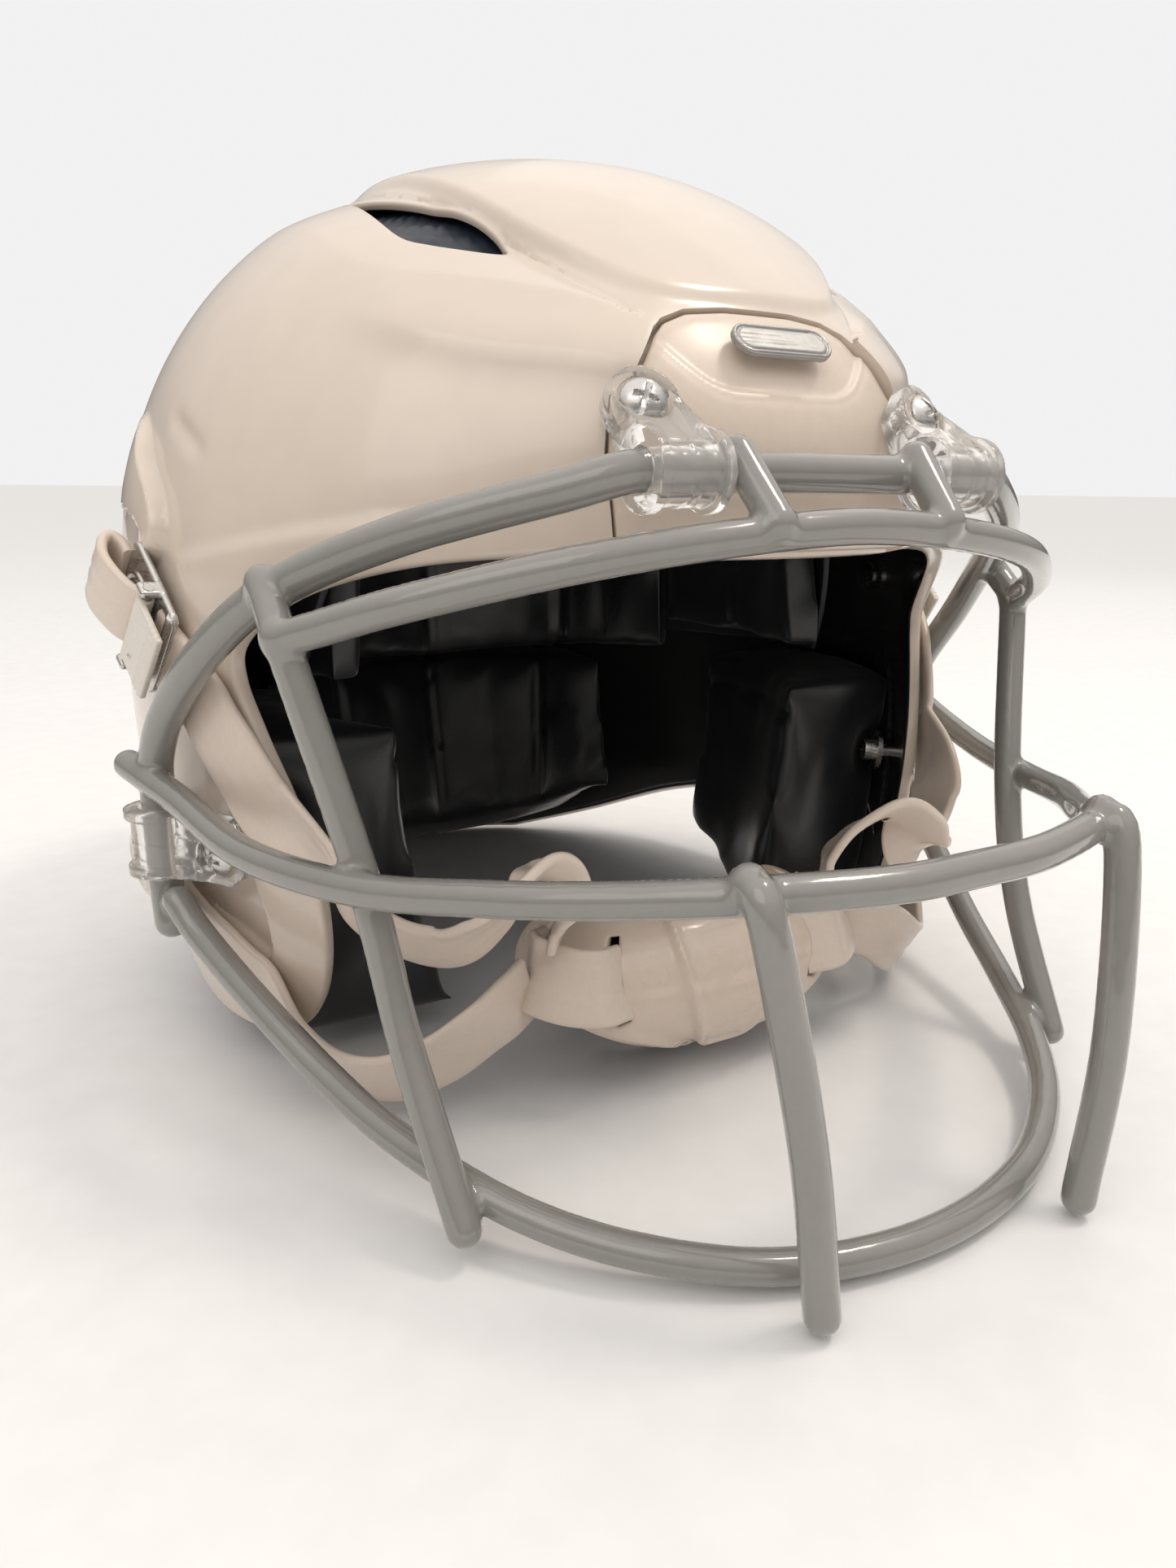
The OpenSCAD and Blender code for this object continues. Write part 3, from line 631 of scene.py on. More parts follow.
def to_wire(p, path, r):
    """Distance of points to the round wire along path."""
    best = np.full(p.shape[:-1], 1e9)
    for a, b in zip(path[:-1], path[1:]):
        e = b - a
        w = p - a
        t = np.clip((w @ e) / (e @ e), 0, 1)
        best = np.minimum(best, np.sqrt(((w - t[..., None] * e) ** 2).sum(-1)) - r)
    return best


def lengths(path):
    """The path in short lengths, so that each only looks at the points near it."""
    return [path[i:i + 7] for i in range(0, len(path) - 1, 6)]


def wires_sdf(p, wires, k):
    """Distance of points to wires with fillets of about k; far points only get a large value."""
    out = np.full(len(p), 50.0)
    for path, r in wires:
        one = np.full(len(p), 50.0)
        for seg in lengths(path):
            lo, hi = seg.min(0) - r - 6, seg.max(0) + r + 6
            i = np.flatnonzero(((p > lo) & (p < hi)).all(1))
            one[i] = np.minimum(one[i], to_wire(p[i], seg, r))
        out = smooth_min(out, one, k)
    return out


def wires_solid(wires, k, h):
    """One mesh of round wires with fillets of about k where they meet."""
    every = np.concatenate([w[0] for w in wires])
    lo, hi = every.min(0) - 8, every.max(0) + 8
    shape = np.ceil((hi - lo) / h).astype(int) + 1
    field = np.full(shape, 50.0, np.float32)
    for path, r in wires:
        one = np.full(shape, 50.0, np.float32)
        for seg in lengths(path):
            a = np.maximum(((seg.min(0) - r - 5 - lo) / h).astype(int), 0)
            b = np.minimum(((seg.max(0) + r + 5 - lo) / h).astype(int) + 2, shape)
            axes = [np.arange(a[n], b[n]) * h + lo[n] for n in range(3)]
            grid = np.stack(np.meshgrid(*axes, indexing="ij"), axis=-1)
            block = tuple(slice(a[n], b[n]) for n in range(3))
            one[block] = np.minimum(one[block], to_wire(grid, seg, r))
        field = smooth_min(field, one, k)
    v, q = surface_net(field, lo, h)
    return settle(lambda p: wires_sdf(p, wires, k), v, h, 2), None, q


# ---------------------------------------------------------------- meshes and materials

def added(name, data):
    """A new object in the scene."""
    ob = bpy.data.objects.new(name, data)
    bpy.context.scene.collection.objects.link(ob)
    return ob


def dress(ob, material):
    ob.data.materials.clear()
    ob.data.materials.append(material)


def finished(ob, material, body, replaces):
    dress(ob, material)
    if replaces:
        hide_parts(*replaces)
    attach(ob, body)


def piece(name, verts, tris, quads, slot, material, body="helmet", sharp=40, replaces=None):
    """A mesh, with verts in mm, that rides on a body and replaces CAD nodes: its namesake, if none is given."""
    parts = [np.asarray(f, int) for f in (tris, quads) if f is not None and len(f)]
    used = np.unique(np.concatenate([f.ravel() for f in parts]))
    new = -np.ones(len(verts), int)
    new[used] = np.arange(len(used))
    verts = (np.asarray(verts, float)[used] + PLACED) * MM
    parts = [new[f] for f in parts]
    sizes = np.concatenate([np.full(len(f), f.shape[1]) for f in parts])
    me = bpy.data.meshes.new(name)
    me.vertices.add(len(verts))
    me.vertices.foreach_set("co", verts.astype(np.float32).ravel())
    loops = np.concatenate([f.ravel() for f in parts]).astype(np.int32)
    me.loops.add(len(loops))
    me.loops.foreach_set("vertex_index", loops)
    me.polygons.add(len(sizes))
    me.polygons.foreach_set("loop_start", np.concatenate([[0], np.cumsum(sizes)[:-1]]).astype(np.int32))
    me.polygons.foreach_set("use_smooth", np.ones(len(sizes), bool))
    me.update(calc_edges=True)
    me.validate()
    me.set_sharp_from_angle(angle=math.radians(sharp))
    finished(added(name, me), material, body, [name] if replaces is None else replaces)


def mirror_image(verts, tris, quads):
    return verts * np.array([-1, 1, 1]), None if tris is None else tris[:, ::-1], quads[:, ::-1]


def pair(name, mesh, slot, material, body="helmet", **values):
    """A piece on the wearer's left and its mirror image on the right. A body that ends in _ has two sides too."""
    for label, sided in (("left", mesh), ("right", mirror_image(*mesh))):
        piece(name + label, *sided, slot, material, body=body + label if body.endswith("_") else body, **values)


def add_node(tree, kind, inputs=(), **settings):
    """A new node. An input given as another node's output is linked to it."""
    node = tree.nodes.new(kind)
    for key, value in settings.items():
        setattr(node, key, value)
    for key, value in dict(inputs).items():
        if isinstance(value, bpy.types.NodeSocket):
            tree.links.new(value, node.inputs[key])
        else:
            node.inputs[key].default_value = value
    return node


def material(name, colour, rough, second, mottle=0.5, scale=9.0, grain=None, grain_scale=1400.0, metallic=0.0,
             coat=0.0, sheen=0.0, rough_spread=0.06, ior=1.5, coat_rough=0.06, edge=0.0, scratches=0.0, clear=0.0):
    """A procedural material. second is mixed in by large noise, grain is the bump's height in mm."""
    mat = bpy.data.materials.new(name)
    mat.use_nodes = True
    tree = mat.node_tree
    tree.nodes.clear()
    place = add_node(tree, "ShaderNodeTexCoord").outputs["Object"]

    def noise(at, detail):
        values = {"Vector": place, "Scale": at, "Detail": detail, "Roughness": 0.55}
        return add_node(tree, "ShaderNodeTexNoise", values).outputs["Fac"]

    def spread(source, low, high, a=0.35, b=0.65):
        values = {"Value": source, "From Min": a, "From Max": b, "To Min": low, "To Max": high}
        return add_node(tree, "ShaderNodeMapRange", values).outputs["Result"]

    def mix(factor, a, b):
        return add_node(tree, "ShaderNodeMix", {"Factor": factor, 6: a, 7: b}, data_type="RGBA").outputs[2]

    tone = mix(spread(noise(scale, 3.0), 0.0, mottle), (*colour, 1), (*second, 1))
    speck = spread(noise(scale * 26, 2.0), 0.985, 1.015)
    tone = add_node(tree, "ShaderNodeHueSaturation", {"Color": tone, "Value": speck}).outputs[0]
    # Convex edges, found by pointiness, take a lighter tone of the colour.
    if edge:
        corners = add_node(tree, "ShaderNodeNewGeometry").outputs["Pointiness"]
        edge_tone = tuple(min(1.0, c * 1.5 + 0.06) for c in colour)
        tone = mix(spread(corners, 0.0, edge, 0.51, 0.56), tone, (*edge_tone, 1))
    roughness = spread(noise(scale * 3.3, 4.0), rough - rough_spread, rough + rough_spread)
    if scratches:
        squash = add_node(tree, "ShaderNodeMapping", {"Vector": place, "Scale": (1, 1, 26)})
        values = {"Vector": squash.outputs[0], "Scale": 60.0, "Detail": 5.0}
        streak = add_node(tree, "ShaderNodeTexNoise", values)
        extra = spread(streak.outputs["Fac"], 0.0, scratches, 0.45, 0.75)
        roughness = add_node(tree, "ShaderNodeMath", {0: roughness, 1: extra}, operation="ADD").outputs[0]
    bsdf = add_node(tree, "ShaderNodeBsdfPrincipled", {
        "Base Color": tone, "Roughness": roughness, "Metallic": metallic, "IOR": ior,
        "Transmission Weight": clear, "Coat Weight": coat, "Coat Roughness": coat_rough,
        "Sheen Weight": sheen, "Sheen Roughness": 0.45})
    if grain:
        bump = {"Height": noise(grain_scale, 3.0), "Strength": 1.0, "Distance": grain * MM}
        tree.links.new(add_node(tree, "ShaderNodeBump", bump).outputs[0], bsdf.inputs["Normal"])
    add_node(tree, "ShaderNodeOutputMaterial", {0: bsdf.outputs[0]})
    return mat


# Near-black colour painted on the shell's inner faces as painted shade.
INSIDE_SHADE = (0.03, 0.029, 0.03)


def paint_inside_shade(mat):
    """Faces that look towards the middle of the shell are painted near-black: painted shade for the inside of the
    shell.
    """
    tree = mat.node_tree
    colour = tree.nodes["Principled BSDF"].inputs["Base Color"]
    place = add_node(tree, "ShaderNodeTexCoord")
    middle = tuple((SHELL.c + PLACED) * MM)
    from_middle = add_node(tree, "ShaderNodeVectorMath", {0: place.outputs["Object"], 1: middle},
                           operation="SUBTRACT")
    along = add_node(tree, "ShaderNodeVectorMath", {0: place.outputs["Normal"], 1: from_middle.outputs[0]},
                     operation="DOT_PRODUCT")
    facing = add_node(tree, "ShaderNodeMapRange",
                      {"Value": along.outputs["Value"], "From Min": -0.062, "From Max": -0.05})
    values = {"Factor": facing.outputs["Result"], 6: (*INSIDE_SHADE, 1), 7: colour.links[0].from_socket}
    tree.links.new(add_node(tree, "ShaderNodeMix", values, data_type="RGBA").outputs[2], colour)


M_SHELL = material("shell_gloss", (0.70, 0.60, 0.51), 0.26, second=(0.69, 0.59, 0.5), mottle=0.25, scale=4,
                   grain=0.003, grain_scale=420, coat=0.6, coat_rough=0.07, rough_spread=0.012)
# The shell's inner faces get painted shade.
paint_inside_shade(M_SHELL)
M_BUMPER = material("bumper_vinyl", (0.72, 0.61, 0.515), 0.36, second=(0.68, 0.57, 0.475), scale=14, grain=0.014,
                    grain_scale=900, coat=0.25, coat_rough=0.2)
M_CUP = material("cup_gloss", (0.70, 0.585, 0.49), 0.24, second=(0.66, 0.54, 0.45), scale=16, grain=0.01,
                 grain_scale=700, coat=0.5, coat_rough=0.08)
M_WEB = material("coated_webbing", (0.72, 0.615, 0.53), 0.34, second=(0.685, 0.58, 0.49), scale=30, grain=0.03,
                 grain_scale=1500, coat=0.3, coat_rough=0.2)
M_CAGE = material("cage_coating", (0.245, 0.24, 0.222), 0.2, second=(0.235, 0.23, 0.212), scale=12, grain=0.006,
                  grain_scale=300, coat=0.8, edge=0.08, rough_spread=0.03)
M_STEEL = material("stainless", (0.62, 0.61, 0.59), 0.24, second=(0.5, 0.49, 0.47), scale=120, metallic=1.0,
                   grain=0.01, grain_scale=2600, scratches=0.25)
M_BADGE = material("brushed_badge", (0.42, 0.41, 0.40), 0.34, second=(0.3, 0.3, 0.29), scale=90, metallic=1.0,
                   grain=0.03, grain_scale=900, scratches=0.4)
M_NAVY = material("vent_dark", (0.022, 0.03, 0.048), 0.42, second=(0.012, 0.018, 0.03), scale=30, grain=0.03,
                  grain_scale=700)
M_PAD = material("pad_cover", (0.012, 0.0125, 0.015), 0.34, second=(0.007, 0.0075, 0.01), scale=26, grain=0.05,
                 grain_scale=900, sheen=0.12, coat=0.3, coat_rough=0.25)
M_LINER = material("liner_plastic", (0.03, 0.031, 0.036), 0.45, second=(0.02, 0.02, 0.025), scale=20, grain=0.03,
                   grain_scale=800)
M_ABSORB = material("absorber_rubber", (0.03, 0.03, 0.033), 0.55, second=(0.02, 0.02, 0.022), scale=30, grain=0.04,
                    grain_scale=600)
M_NYLON = material("white_nylon", (0.72, 0.67, 0.6), 0.3, second=(0.68, 0.62, 0.55), scale=60, grain=0.02,
                   grain_scale=1200, coat=0.3)
M_CLEAR = material("clear_clip", (0.985, 0.975, 0.955), 0.09, second=(0.97, 0.96, 0.94), scale=60, grain=0.02,
                   grain_scale=260, rough_spread=0.03, ior=1.33, clear=0.88)

# ---------------------------------------------------------------- shell

v, f = direction_cube(190)
v, f, gone, locked = split(v, f, g_through, np.zeros(len(v), bool))
f = f[~gone]
for line, offset in ((SEAM_LINE, -SEAM_LIP), (SEAM_LINE, SEAM_LIP), (FIN_LINE, -0.4), (FIN_LINE, 1.8),
                     (JAW_LINE, -0.6), (JAW_LINE, 2.0)):
    v, f, _, locked = split(v, f, lambda q: line_offset(q, line, offset), locked)
v, f, in_bumper, locked = split(v, f, g_bumper, locked)
used, f = np.unique(f, return_inverse=True)
v, f = v[used], f.reshape(-1, 3)
n_shell = SHELL.normal(v)
pocket = SHELL.skin(v) + np.maximum(swell(v) - BUMPER_T - SEAM, -BUMPER_T + 1.4)[:, None] * v
thin = np.minimum(relief(v, SHELL.skin(v), n_shell) + WALL - 2.3, 0)
inner = SHELL.skin(v, WALL) + np.maximum(swell(v) - 5.4, 0)[:, None] * v + thin[:, None] * n_shell
deep = smooth((g_bumper(v) + 3) / 4)
inner -= (deep * np.clip(4.4 - swell(v), 0, 3.0))[:, None] * n_shell
piece("shell", *close_sheet(shell_skin(v), inner, n_shell, f[~in_bumper], f[in_bumper], pocket, bulge=1.4),
      "shell_gloss", M_SHELL, sharp=48)

# ---------------------------------------------------------------- front bumper and badge

BUMPER_GAP = SEAM + 0.9
v, f = direction_patch((-36, 36), (4, 50), *(((190, 130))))
v, f = cut(v, f, lambda q: np.minimum(g_bumper(q) - BUMPER_GAP, -g_open(q) - 0.2))
skin_out = SHELL.skin(v) + swell(v)[:, None] * v
n_bump = SHELL.normal(v)
panel = flat_sdf(skin_out[:, [0, 2]], BADGE_PANEL)
step = -1.3 * smooth((panel + 0.5) / 1.5) - 0.25 * np.exp(-((panel + 1.2) / 1.0) ** 2)
step -= 0.35 * np.exp(-((g_bumper(v) - BUMPER_GAP) / 0.9) ** 2)
sheet = close_sheet(skin_out + step[:, None] * n_bump, skin_out - BUMPER_T * v, n_bump, f, bulge=0.9)
piece("front_bumper", *sheet, "bumper_rubber", M_BUMPER, sharp=48)

lo, hi = box_mm("badge")
badge_c = (lo + hi) / 2
badge_n = unit(np.array([0, -0.75, 0.66]))
badge_u = np.array([1.0, 0, 0])
badge_v = np.cross(badge_n, badge_u)


def badge_sdf(p):
    w = p - badge_c
    x, y, z = w @ badge_u, w @ badge_v, np.abs(w @ badge_n)
    flat = np.hypot(np.maximum(np.abs(x) - 8.6, 0), y) - 4.3
    rim = -0.35 * np.exp(-((flat + 1.1) / 0.35) ** 2)
    body = np.maximum(flat, z - 0.85 - rim)
    return np.where((flat > -0.6) & (z > 0.3), round_corner(flat + 0.5, z - 0.35) - 0.5, body)


piece("badge", *field_solid(badge_sdf, lo, hi, 0.28), "brushed_badge", M_BADGE)

# ---------------------------------------------------------------- rear bumper and vent screens

def from_back(az):
    """The azimuth counted from the middle of the back."""
    return np.where(az < 0, az + 360, az) - 180


def g_rear(v):
    az, el = angles(v)
    x, y = np.abs(from_back(az)) * 2.35, np.abs((el + 25) * 2.7)
    g = 9 - round_corner(x - 44, y - 20) - 0.9
    p = SHELL.skin(v)
    return np.minimum(g, -flat_sdf(p[:, 1:] - np.array([0, 5.5]), OPENING) - 0.5)


v, f = direction_patch((154, 206), (-39, -11), 130, 70)
v, f = cut(v, f, g_rear)
n_rear = SHELL.normal(v)
az, el = angles(v)
rib = sum(np.exp(-((from_back(az) - c) / 0.8) ** 2) for c in (-12, -6, 0, 6, 12))
rib *= smooth((el + 36) / 6) * smooth((-15 - el) / 5)
out = SHELL.skin(v, -3.6) - (0.8 * rib)[:, None] * n_rear
sheet = close_sheet(out, SHELL.skin(v, -0.6), n_rear, f, bulge=0.9)
piece("rear_bumper", *sheet, "bumper_rubber", M_BUMPER, sharp=48)

v, f = direction_patch((20, 85), (44, 69), 60, 28)
az, el = angles(v)
x, y = (az - 44) / 3.2, (el - 56) / 3.0
cell = np.maximum(np.abs(np.sin(x * math.pi)), np.abs(np.sin((y + 0.25) * math.pi)))
n_v = SHELL.normal(v)
out = SHELL.skin(v, WALL + 2.4) - (0.5 * smooth((cell - 0.55) / 0.3))[:, None] * n_v
sheet = close_sheet(out, SHELL.skin(v, WALL + 3.6), n_v, f, bulge=0.5, rows=3)
pair("vent_screen_", sheet, "vent_dark", M_NAVY, replaces=["vent_screens"])

# ---------------------------------------------------------------- cage

rim_half = [[124.2, -37.5, 45], [124.2, -34.6, 53], [124.2, -33.9, 62], [124.2, -34, 72], [124.2, -34.6, 80],
            [124, -37.5, 88], [122, -45.5, 99], [116.5, -60, 113], [108, -75, 126], [98, -88.5, 134.5],
            [84, -103.5, 142], [70, -114.5, 147], [57, -123, 151], [50, -126.6, 153.4], [44, -127.9, 154.5],
            [36, -128, 154.5], [20, -128, 154.5], [0, -128, 154.5]]
RIM_R, BAR_R = 4.15, 3.65
def wire(points, r):
    return resample(catmull(points, 8), 1.8), r


WIRES = [wire(both_halves(rim_half), RIM_R)]
for path in (
    [[123, -42, 52], [119.5, -49, 45], [111.8, -68, 34.8], [101.6, -91.3, 23.4], [91, -114, 15.6], [76, -139, 9.9],
     [57, -158.5, 6.7], [32, -172.4, 4.4], [0, -178, 4]],
    [[129.5, -30, 84.5], [121.5, -50, 79.4], [113, -78.3, 73.7], [98, -109.3, 73.5], [80.2, -134.8, 77],
     [64, -152, 79.7], [46, -168.4, 83], [20, -177, 83.5], [0, -178, 83.5]],
    [[105.4, -92.5, 121.6], [98.8, -101.2, 124.8], [86.8, -114, 130], [60.7, -131, 137.5], [31, -139, 142.2],
     [0, -141.5, 144.3]],
):
    WIRES.append(wire(both_halves(path), BAR_R))
for path in (
    [[105.6, -80.5, 132], [105.5, -92, 122]],
    [[105.3, -92, 121.8], [94.8, -106, 72], [91, -117, 40], [87, -136, 8]],
    [[46.5, -169.5, 86], [46.5, -175.5, 80], [41, -183, 40], [36, -184.5, 4]],
    [[23.8, -129.8, 158], [22.4, -141.8, 145]],
):
    WIRES += [wire(path, BAR_R), wire(mirrored(path), BAR_R)]
FILLET = 1.7
piece("facemask", *wires_solid(WIRES, FILLET, 1.15), "cage_coating", M_CAGE, sharp=80)

# ---------------------------------------------------------------- clips and screws

TOP_SEAT, TOP_AXIS = np.array([36.5, -112.6, 165.5]), unit([0.24, -0.88, 0.4])
SIDE_SEAT, SIDE_AXIS = np.array([109.387, -49.8504, 65.7712]), np.array([0.880814, -0.467326, -0.0759778])
CLIP_HALF_W = 8.1
SCREW_TURN = 0.35


def taper(x, y, length, r0, r1):
    """Distance in a plane to two circles joined by their tangents: r0 at the origin, r1 at (length, 0)."""
    b = (r0 - r1) / length
    a = math.sqrt(max(1 - b * b, 1e-9))
    y = np.abs(y)
    along = a * x - b * y
    first, last = np.hypot(x, y) - r0, np.hypot(x - length, y) - r1
    return np.where(along < 0, first, np.where(along > a * length, last, x * b + y * a - r0))


def clip_sdf(seat, axis, bar, across, half_w, bar_r):
    """A clip that hooks round the cage's bar and is screwed down on its seat; across is the bar's direction."""
    line = seat + axis * 3.0 - bar
    line -= (line @ across) * across
    length = np.linalg.norm(line)
    along = line / length
    up = np.cross(across, along)
    u = unit(across - (across @ axis) * axis)
    w = np.cross(axis, u)

    def sdf(p):
        q = p - bar
        x, y, t = q @ along, q @ up, q @ across
        web = taper(x, y, length, bar_r + 3.0, 2.4)
        width = np.abs(t) - half_w
        body = np.minimum(np.maximum(web, width), 0) + round_corner(web, width)
        r = p - seat
        a, b, c = r @ u, r @ w, r @ axis
        flat_r = np.hypot(a, b)
        plate = np.maximum(flat_r - half_w, np.abs(c - 3.0) - 2.2)
        body = smooth_min(body + 0.2, plate + 0.2, 2.0)
        seam = 0.22 * np.exp(-(t / 0.3) ** 2) * (x < length * 0.6)
        from_bar = np.hypot(x, y) - bar_r
        foot = np.maximum(np.abs(from_bar - 2.4) - 1.5, 0)
        lip = np.maximum(foot, np.abs(np.abs(t) - half_w + 0.9) - 0.9)
        body = smooth_min(body, lip - 0.25, 1.2) - seam
        body = -smooth_min(-body, from_bar - 0.12, 0.6)
        recess = np.minimum(np.maximum(flat_r - 5.6, -(c - 3.1)), flat_r - 2.4)
        return -smooth_min(-body, recess, 0.7)

    return sdf


def screw_sdf(seat, axis, length, turn):
    """A domed screw with a cross and a straight slot, sunk in its clip."""
    u = unit(np.cross(axis, [0.0, 0.0, 1.0]))
    w = np.cross(axis, u)
    c, s = math.cos(turn), math.sin(turn)

    def sdf(p):
        q = p - seat
        a0, b0, z = q @ u, q @ w, q @ axis - 5.1
        a, b = np.abs(a0 * c + b0 * s), np.abs(b0 * c - a0 * s)
        r = np.hypot(a, b)
        dome = np.hypot(r, z + 3.6) - 6.5
        head = np.maximum(np.maximum(r - 4.9, dome), -z)
        head = np.maximum(head, r * 0.7071 + z * 0.7071 - 4.3)
        shank = np.maximum(r - 2.05, np.maximum(z - 0.5, -z - length))
        straight = np.maximum(np.maximum(a - 0.55, b - 5.2), 1.6 - z)
        cross = np.minimum(np.maximum(a - 0.62, b - 2.6), np.maximum(b - 0.62, a - 2.6))
        cross = np.maximum(cross, 1.15 + 0.22 * r - z)
        return np.maximum(np.minimum(head, shank), -np.minimum(straight, cross))

    return sdf


for label, seat, axis, bar, across, shank in (
    ("top", TOP_SEAT, TOP_AXIS, [36.5, -128, 154.5], [1.0, 0, 0], 20.0),
    ("side", SIDE_SEAT, SIDE_AXIS, [124.2, -34, 66], [0, 0, 1.0], 12.0),
):
    lo, hi = box_mm(label + "_clip_left")
    clip = clip_sdf(seat, axis, np.array(bar), np.array(across), CLIP_HALF_W, RIM_R)
    clip = field_solid(clip, lo - 1, hi + 1, 0.42)
    pair(label + "_clip_", clip, "clear_clip", M_CLEAR, sharp=60)
    lo, hi = seat + axis * 5 - 7 - np.abs(axis) * 16, seat + axis * 5 + 7 + np.abs(axis) * 3
    screw = field_solid(screw_sdf(seat, axis, shank, SCREW_TURN), lo, hi, 0.26)
    pair(label + "_screw_", screw, "stainless", M_STEEL, sharp=35, replaces=["clip_screws"])

# ---------------------------------------------------------------- the buckle's own axes

swivel = next(joint for joint in frame["joints"] if joint["name"] == "buckle_swivel_left")
P, N = np.array(swivel["pos_m"]) / MM - PLACED, unit(swivel["axis"])
STRAP_TURN = math.radians(-50)


def spin(angle):
    """Rotation about Z."""
    c, s = math.cos(angle), math.sin(angle)
    return np.array([[c, -s, 0], [s, c, 0], [0, 0, 1]])


def lean(angle):
    """Rotation about Y."""
    c, s = math.cos(angle), math.sin(angle)
    return np.array([[c, 0, s], [0, 1, 0], [-s, 0, c]])


# Columns are the buckle's own axes: along the strap, across it, and out of the shell.
B = spin(math.atan2(N[1], N[0])) @ lean(math.acos(N[2])) @ spin(STRAP_TURN)


# ---------------------------------------------------------------- straps

STRAP_W, STRAP_T = 19.0, 2.5
STRAP_LIFT = 2.4


def band(path, wide, width=STRAP_W, thick=STRAP_T, steps=10, corner=5):
    """Flat webbing with rounded edges along path; wide is its wide direction at each point."""
    wide = np.array(wide, float)
    for i in range(1, len(wide)):
        if wide[i] @ wide[i - 1] < 0:
            wide[i] = -wide[i]
    path = catmull(path, steps)
    wide = catmull(unit(wide), steps)
    t = unit(np.gradient(path, axis=0))
    w = unit(wide - (wide * t).sum(1)[:, None] * t)
    n = np.cross(t, w)
    a, r = width / 2 - thick / 2, thick / 2
    turns = [-math.pi / 2 + math.pi * k / corner for k in range(corner + 1)]
    half = [(a + r * math.cos(ang), r * math.sin(ang)) for ang in turns]
    half += [(x, r * (1 - 0.12 * math.cos(x / a * math.pi * 3))) for x in np.linspace(a, -a, 9)[1:-1]]
    ring = np.concatenate([half, -np.array(half)])
    m, k = len(path), len(ring)
    v = (path[:, None] + ring[None, :, :1] * w[:, None] + ring[None, :, 1:] * n[:, None]).reshape(-1, 3)
    i, j = np.meshgrid(np.arange(m - 1), np.arange(k), indexing="ij")
    i, j = i.ravel(), j.ravel()
    q = np.stack([i * k + j, i * k + (j + 1) % k, (i + 1) * k + (j + 1) % k, (i + 1) * k + j], axis=1)
    v = np.concatenate([v, [path[0] - t[0] * 0.5, path[-1] + t[-1] * 0.5]])
    j = np.arange(k)
    caps = np.concatenate([np.stack([np.full(k, m * k), (j + 1) % k, j], 1),
                           np.stack([np.full(k, m * k + 1), (m - 1) * k + j, (m - 1) * k + (j + 1) % k], 1)])
    return v, caps[:, ::-1], q[:, ::-1]


def on_skin_path(az_el, lift):
    v = heading([a for a, _ in az_el], [e for _, e in az_el])
    return SHELL.skin(v, -lift), SHELL.normal(v)


def lying(p, n):
    d = np.gradient(p, axis=0)
    return unit(np.cross(-d, n))


for s, label in ((1, "left"), (-1, "right")):
    p, n = on_skin_path([(73, 0.5), (70, -1.6), (67, -4), (65.2, -6.4), (63, -9), (60.8, -11.9), (58.2, -15)],
                        STRAP_LIFT)
    path = [P + B @ [11.5, 0, 2.6], P + B @ [16, 0, 1.9]] + list(p) + [
        [95.5, -78, 68.5], [90.5, -83.5, 58.5], [82, -88.5, 51.5], [73, -95, 50], [66, -101, 56],
        [60, -105, 64], [53.5, -103.5, 67.5], [46.5, -98, 62], [43, -93, 54], [42, -90.5, 46]]
    wide = [B[:, 1], B[:, 1]] + list(lying(p, n)) + [
        [0.25, -0.35, 0.9], [0.3, -0.48, 0.8], [0.34, -0.52, 0.76], [0.34, -0.55, 0.74], [0.34, -0.66, 0.64],
        [0.3, -0.76, 0.54], [0.25, -0.8, 0.5], [0.3, -0.76, 0.52], [0.4, -0.7, 0.5], [0.5, -0.66, 0.45]]
    if s > 0:
        for k in range(12, len(wide)):
            wide[k] = [-0.8 * wide[k][0], wide[k][1], wide[k][2]]
    uv, ut, uq = band(path, wide)
    p, n = on_skin_path([(84, -25.6), (80, -27.4), (76, -29.5), (73, -30.8), (70, -32), (67, -33.5), (64, -35)],
                        STRAP_LIFT)
    path = list(p) + [[100, -65, 18.5], [93, -74, 13], [84, -83, 13], [74, -89.5, 18.5], [65, -92.6, 25],
                      [57, -91.6, 29], [49.5, -88.6, 32]]
    wide = list(lying(p, n)) + [[0.25, -0.3, 0.92], [0.35, -0.36, 0.87], [0.35, -0.36, 0.87], [0.3, -0.35, 0.88],
                                [0.25, -0.3, 0.92], [0.2, -0.15, 0.96], [0.15, -0.1, 0.97]]
    lv, lt, lq = band(path, wide)
    az_el_depth = [(75, 10, 3.2), (72, 10, 2.6), (69, 9.5, -0.2), (65.5, 9, -2.3), (60, 8.5, -3.0), (54, 8, -3.0),
                   (49, 8, -2.6), (46, 8, -1.0), (44, 8, 1.6), (42.5, 8, 3.3)]
    tab, tall = [], []
    for a, e, d in az_el_depth:
        tab.append(CUP.skin(heading([a], [e]), d)[0])
        tall.append((CUP.skin(heading([a + 3], [e + 10])) - CUP.skin(heading([a - 3], [e - 10])))[0])
    tv, tt, tq = band(tab, tall, steps=6)
    curl = [P + B @ [x, 0, z] for x, z in ((4.4, 5.4), (1.5, 7.4), (-3.5, 9.2), (-8.5, 9.9), (-13.5, 8.6),
                                           (-15.4, 6.0), (-13, 4.2), (-9, 3.9))]
    bv, bt, bq = band(curl, [B[:, 1]] * len(curl), width=17.5)
    for name, body, mesh in (
        ("upper_strap_", "helmet", (uv, ut, uq)), ("lower_strap_", "helmet", (lv, lt, lq)),
        ("cup_strap_tab_", "chin_cup", (tv, tt, tq)), ("strap_tail_", "buckle_" + label, (bv, bt, bq)),
    ):
        piece(name + label, *(mesh if s > 0 else mirror_image(*mesh)), "webbing", M_WEB, body=body, sharp=70,
              replaces=None if body == "helmet" else ())

# ---------------------------------------------------------------- chin cup

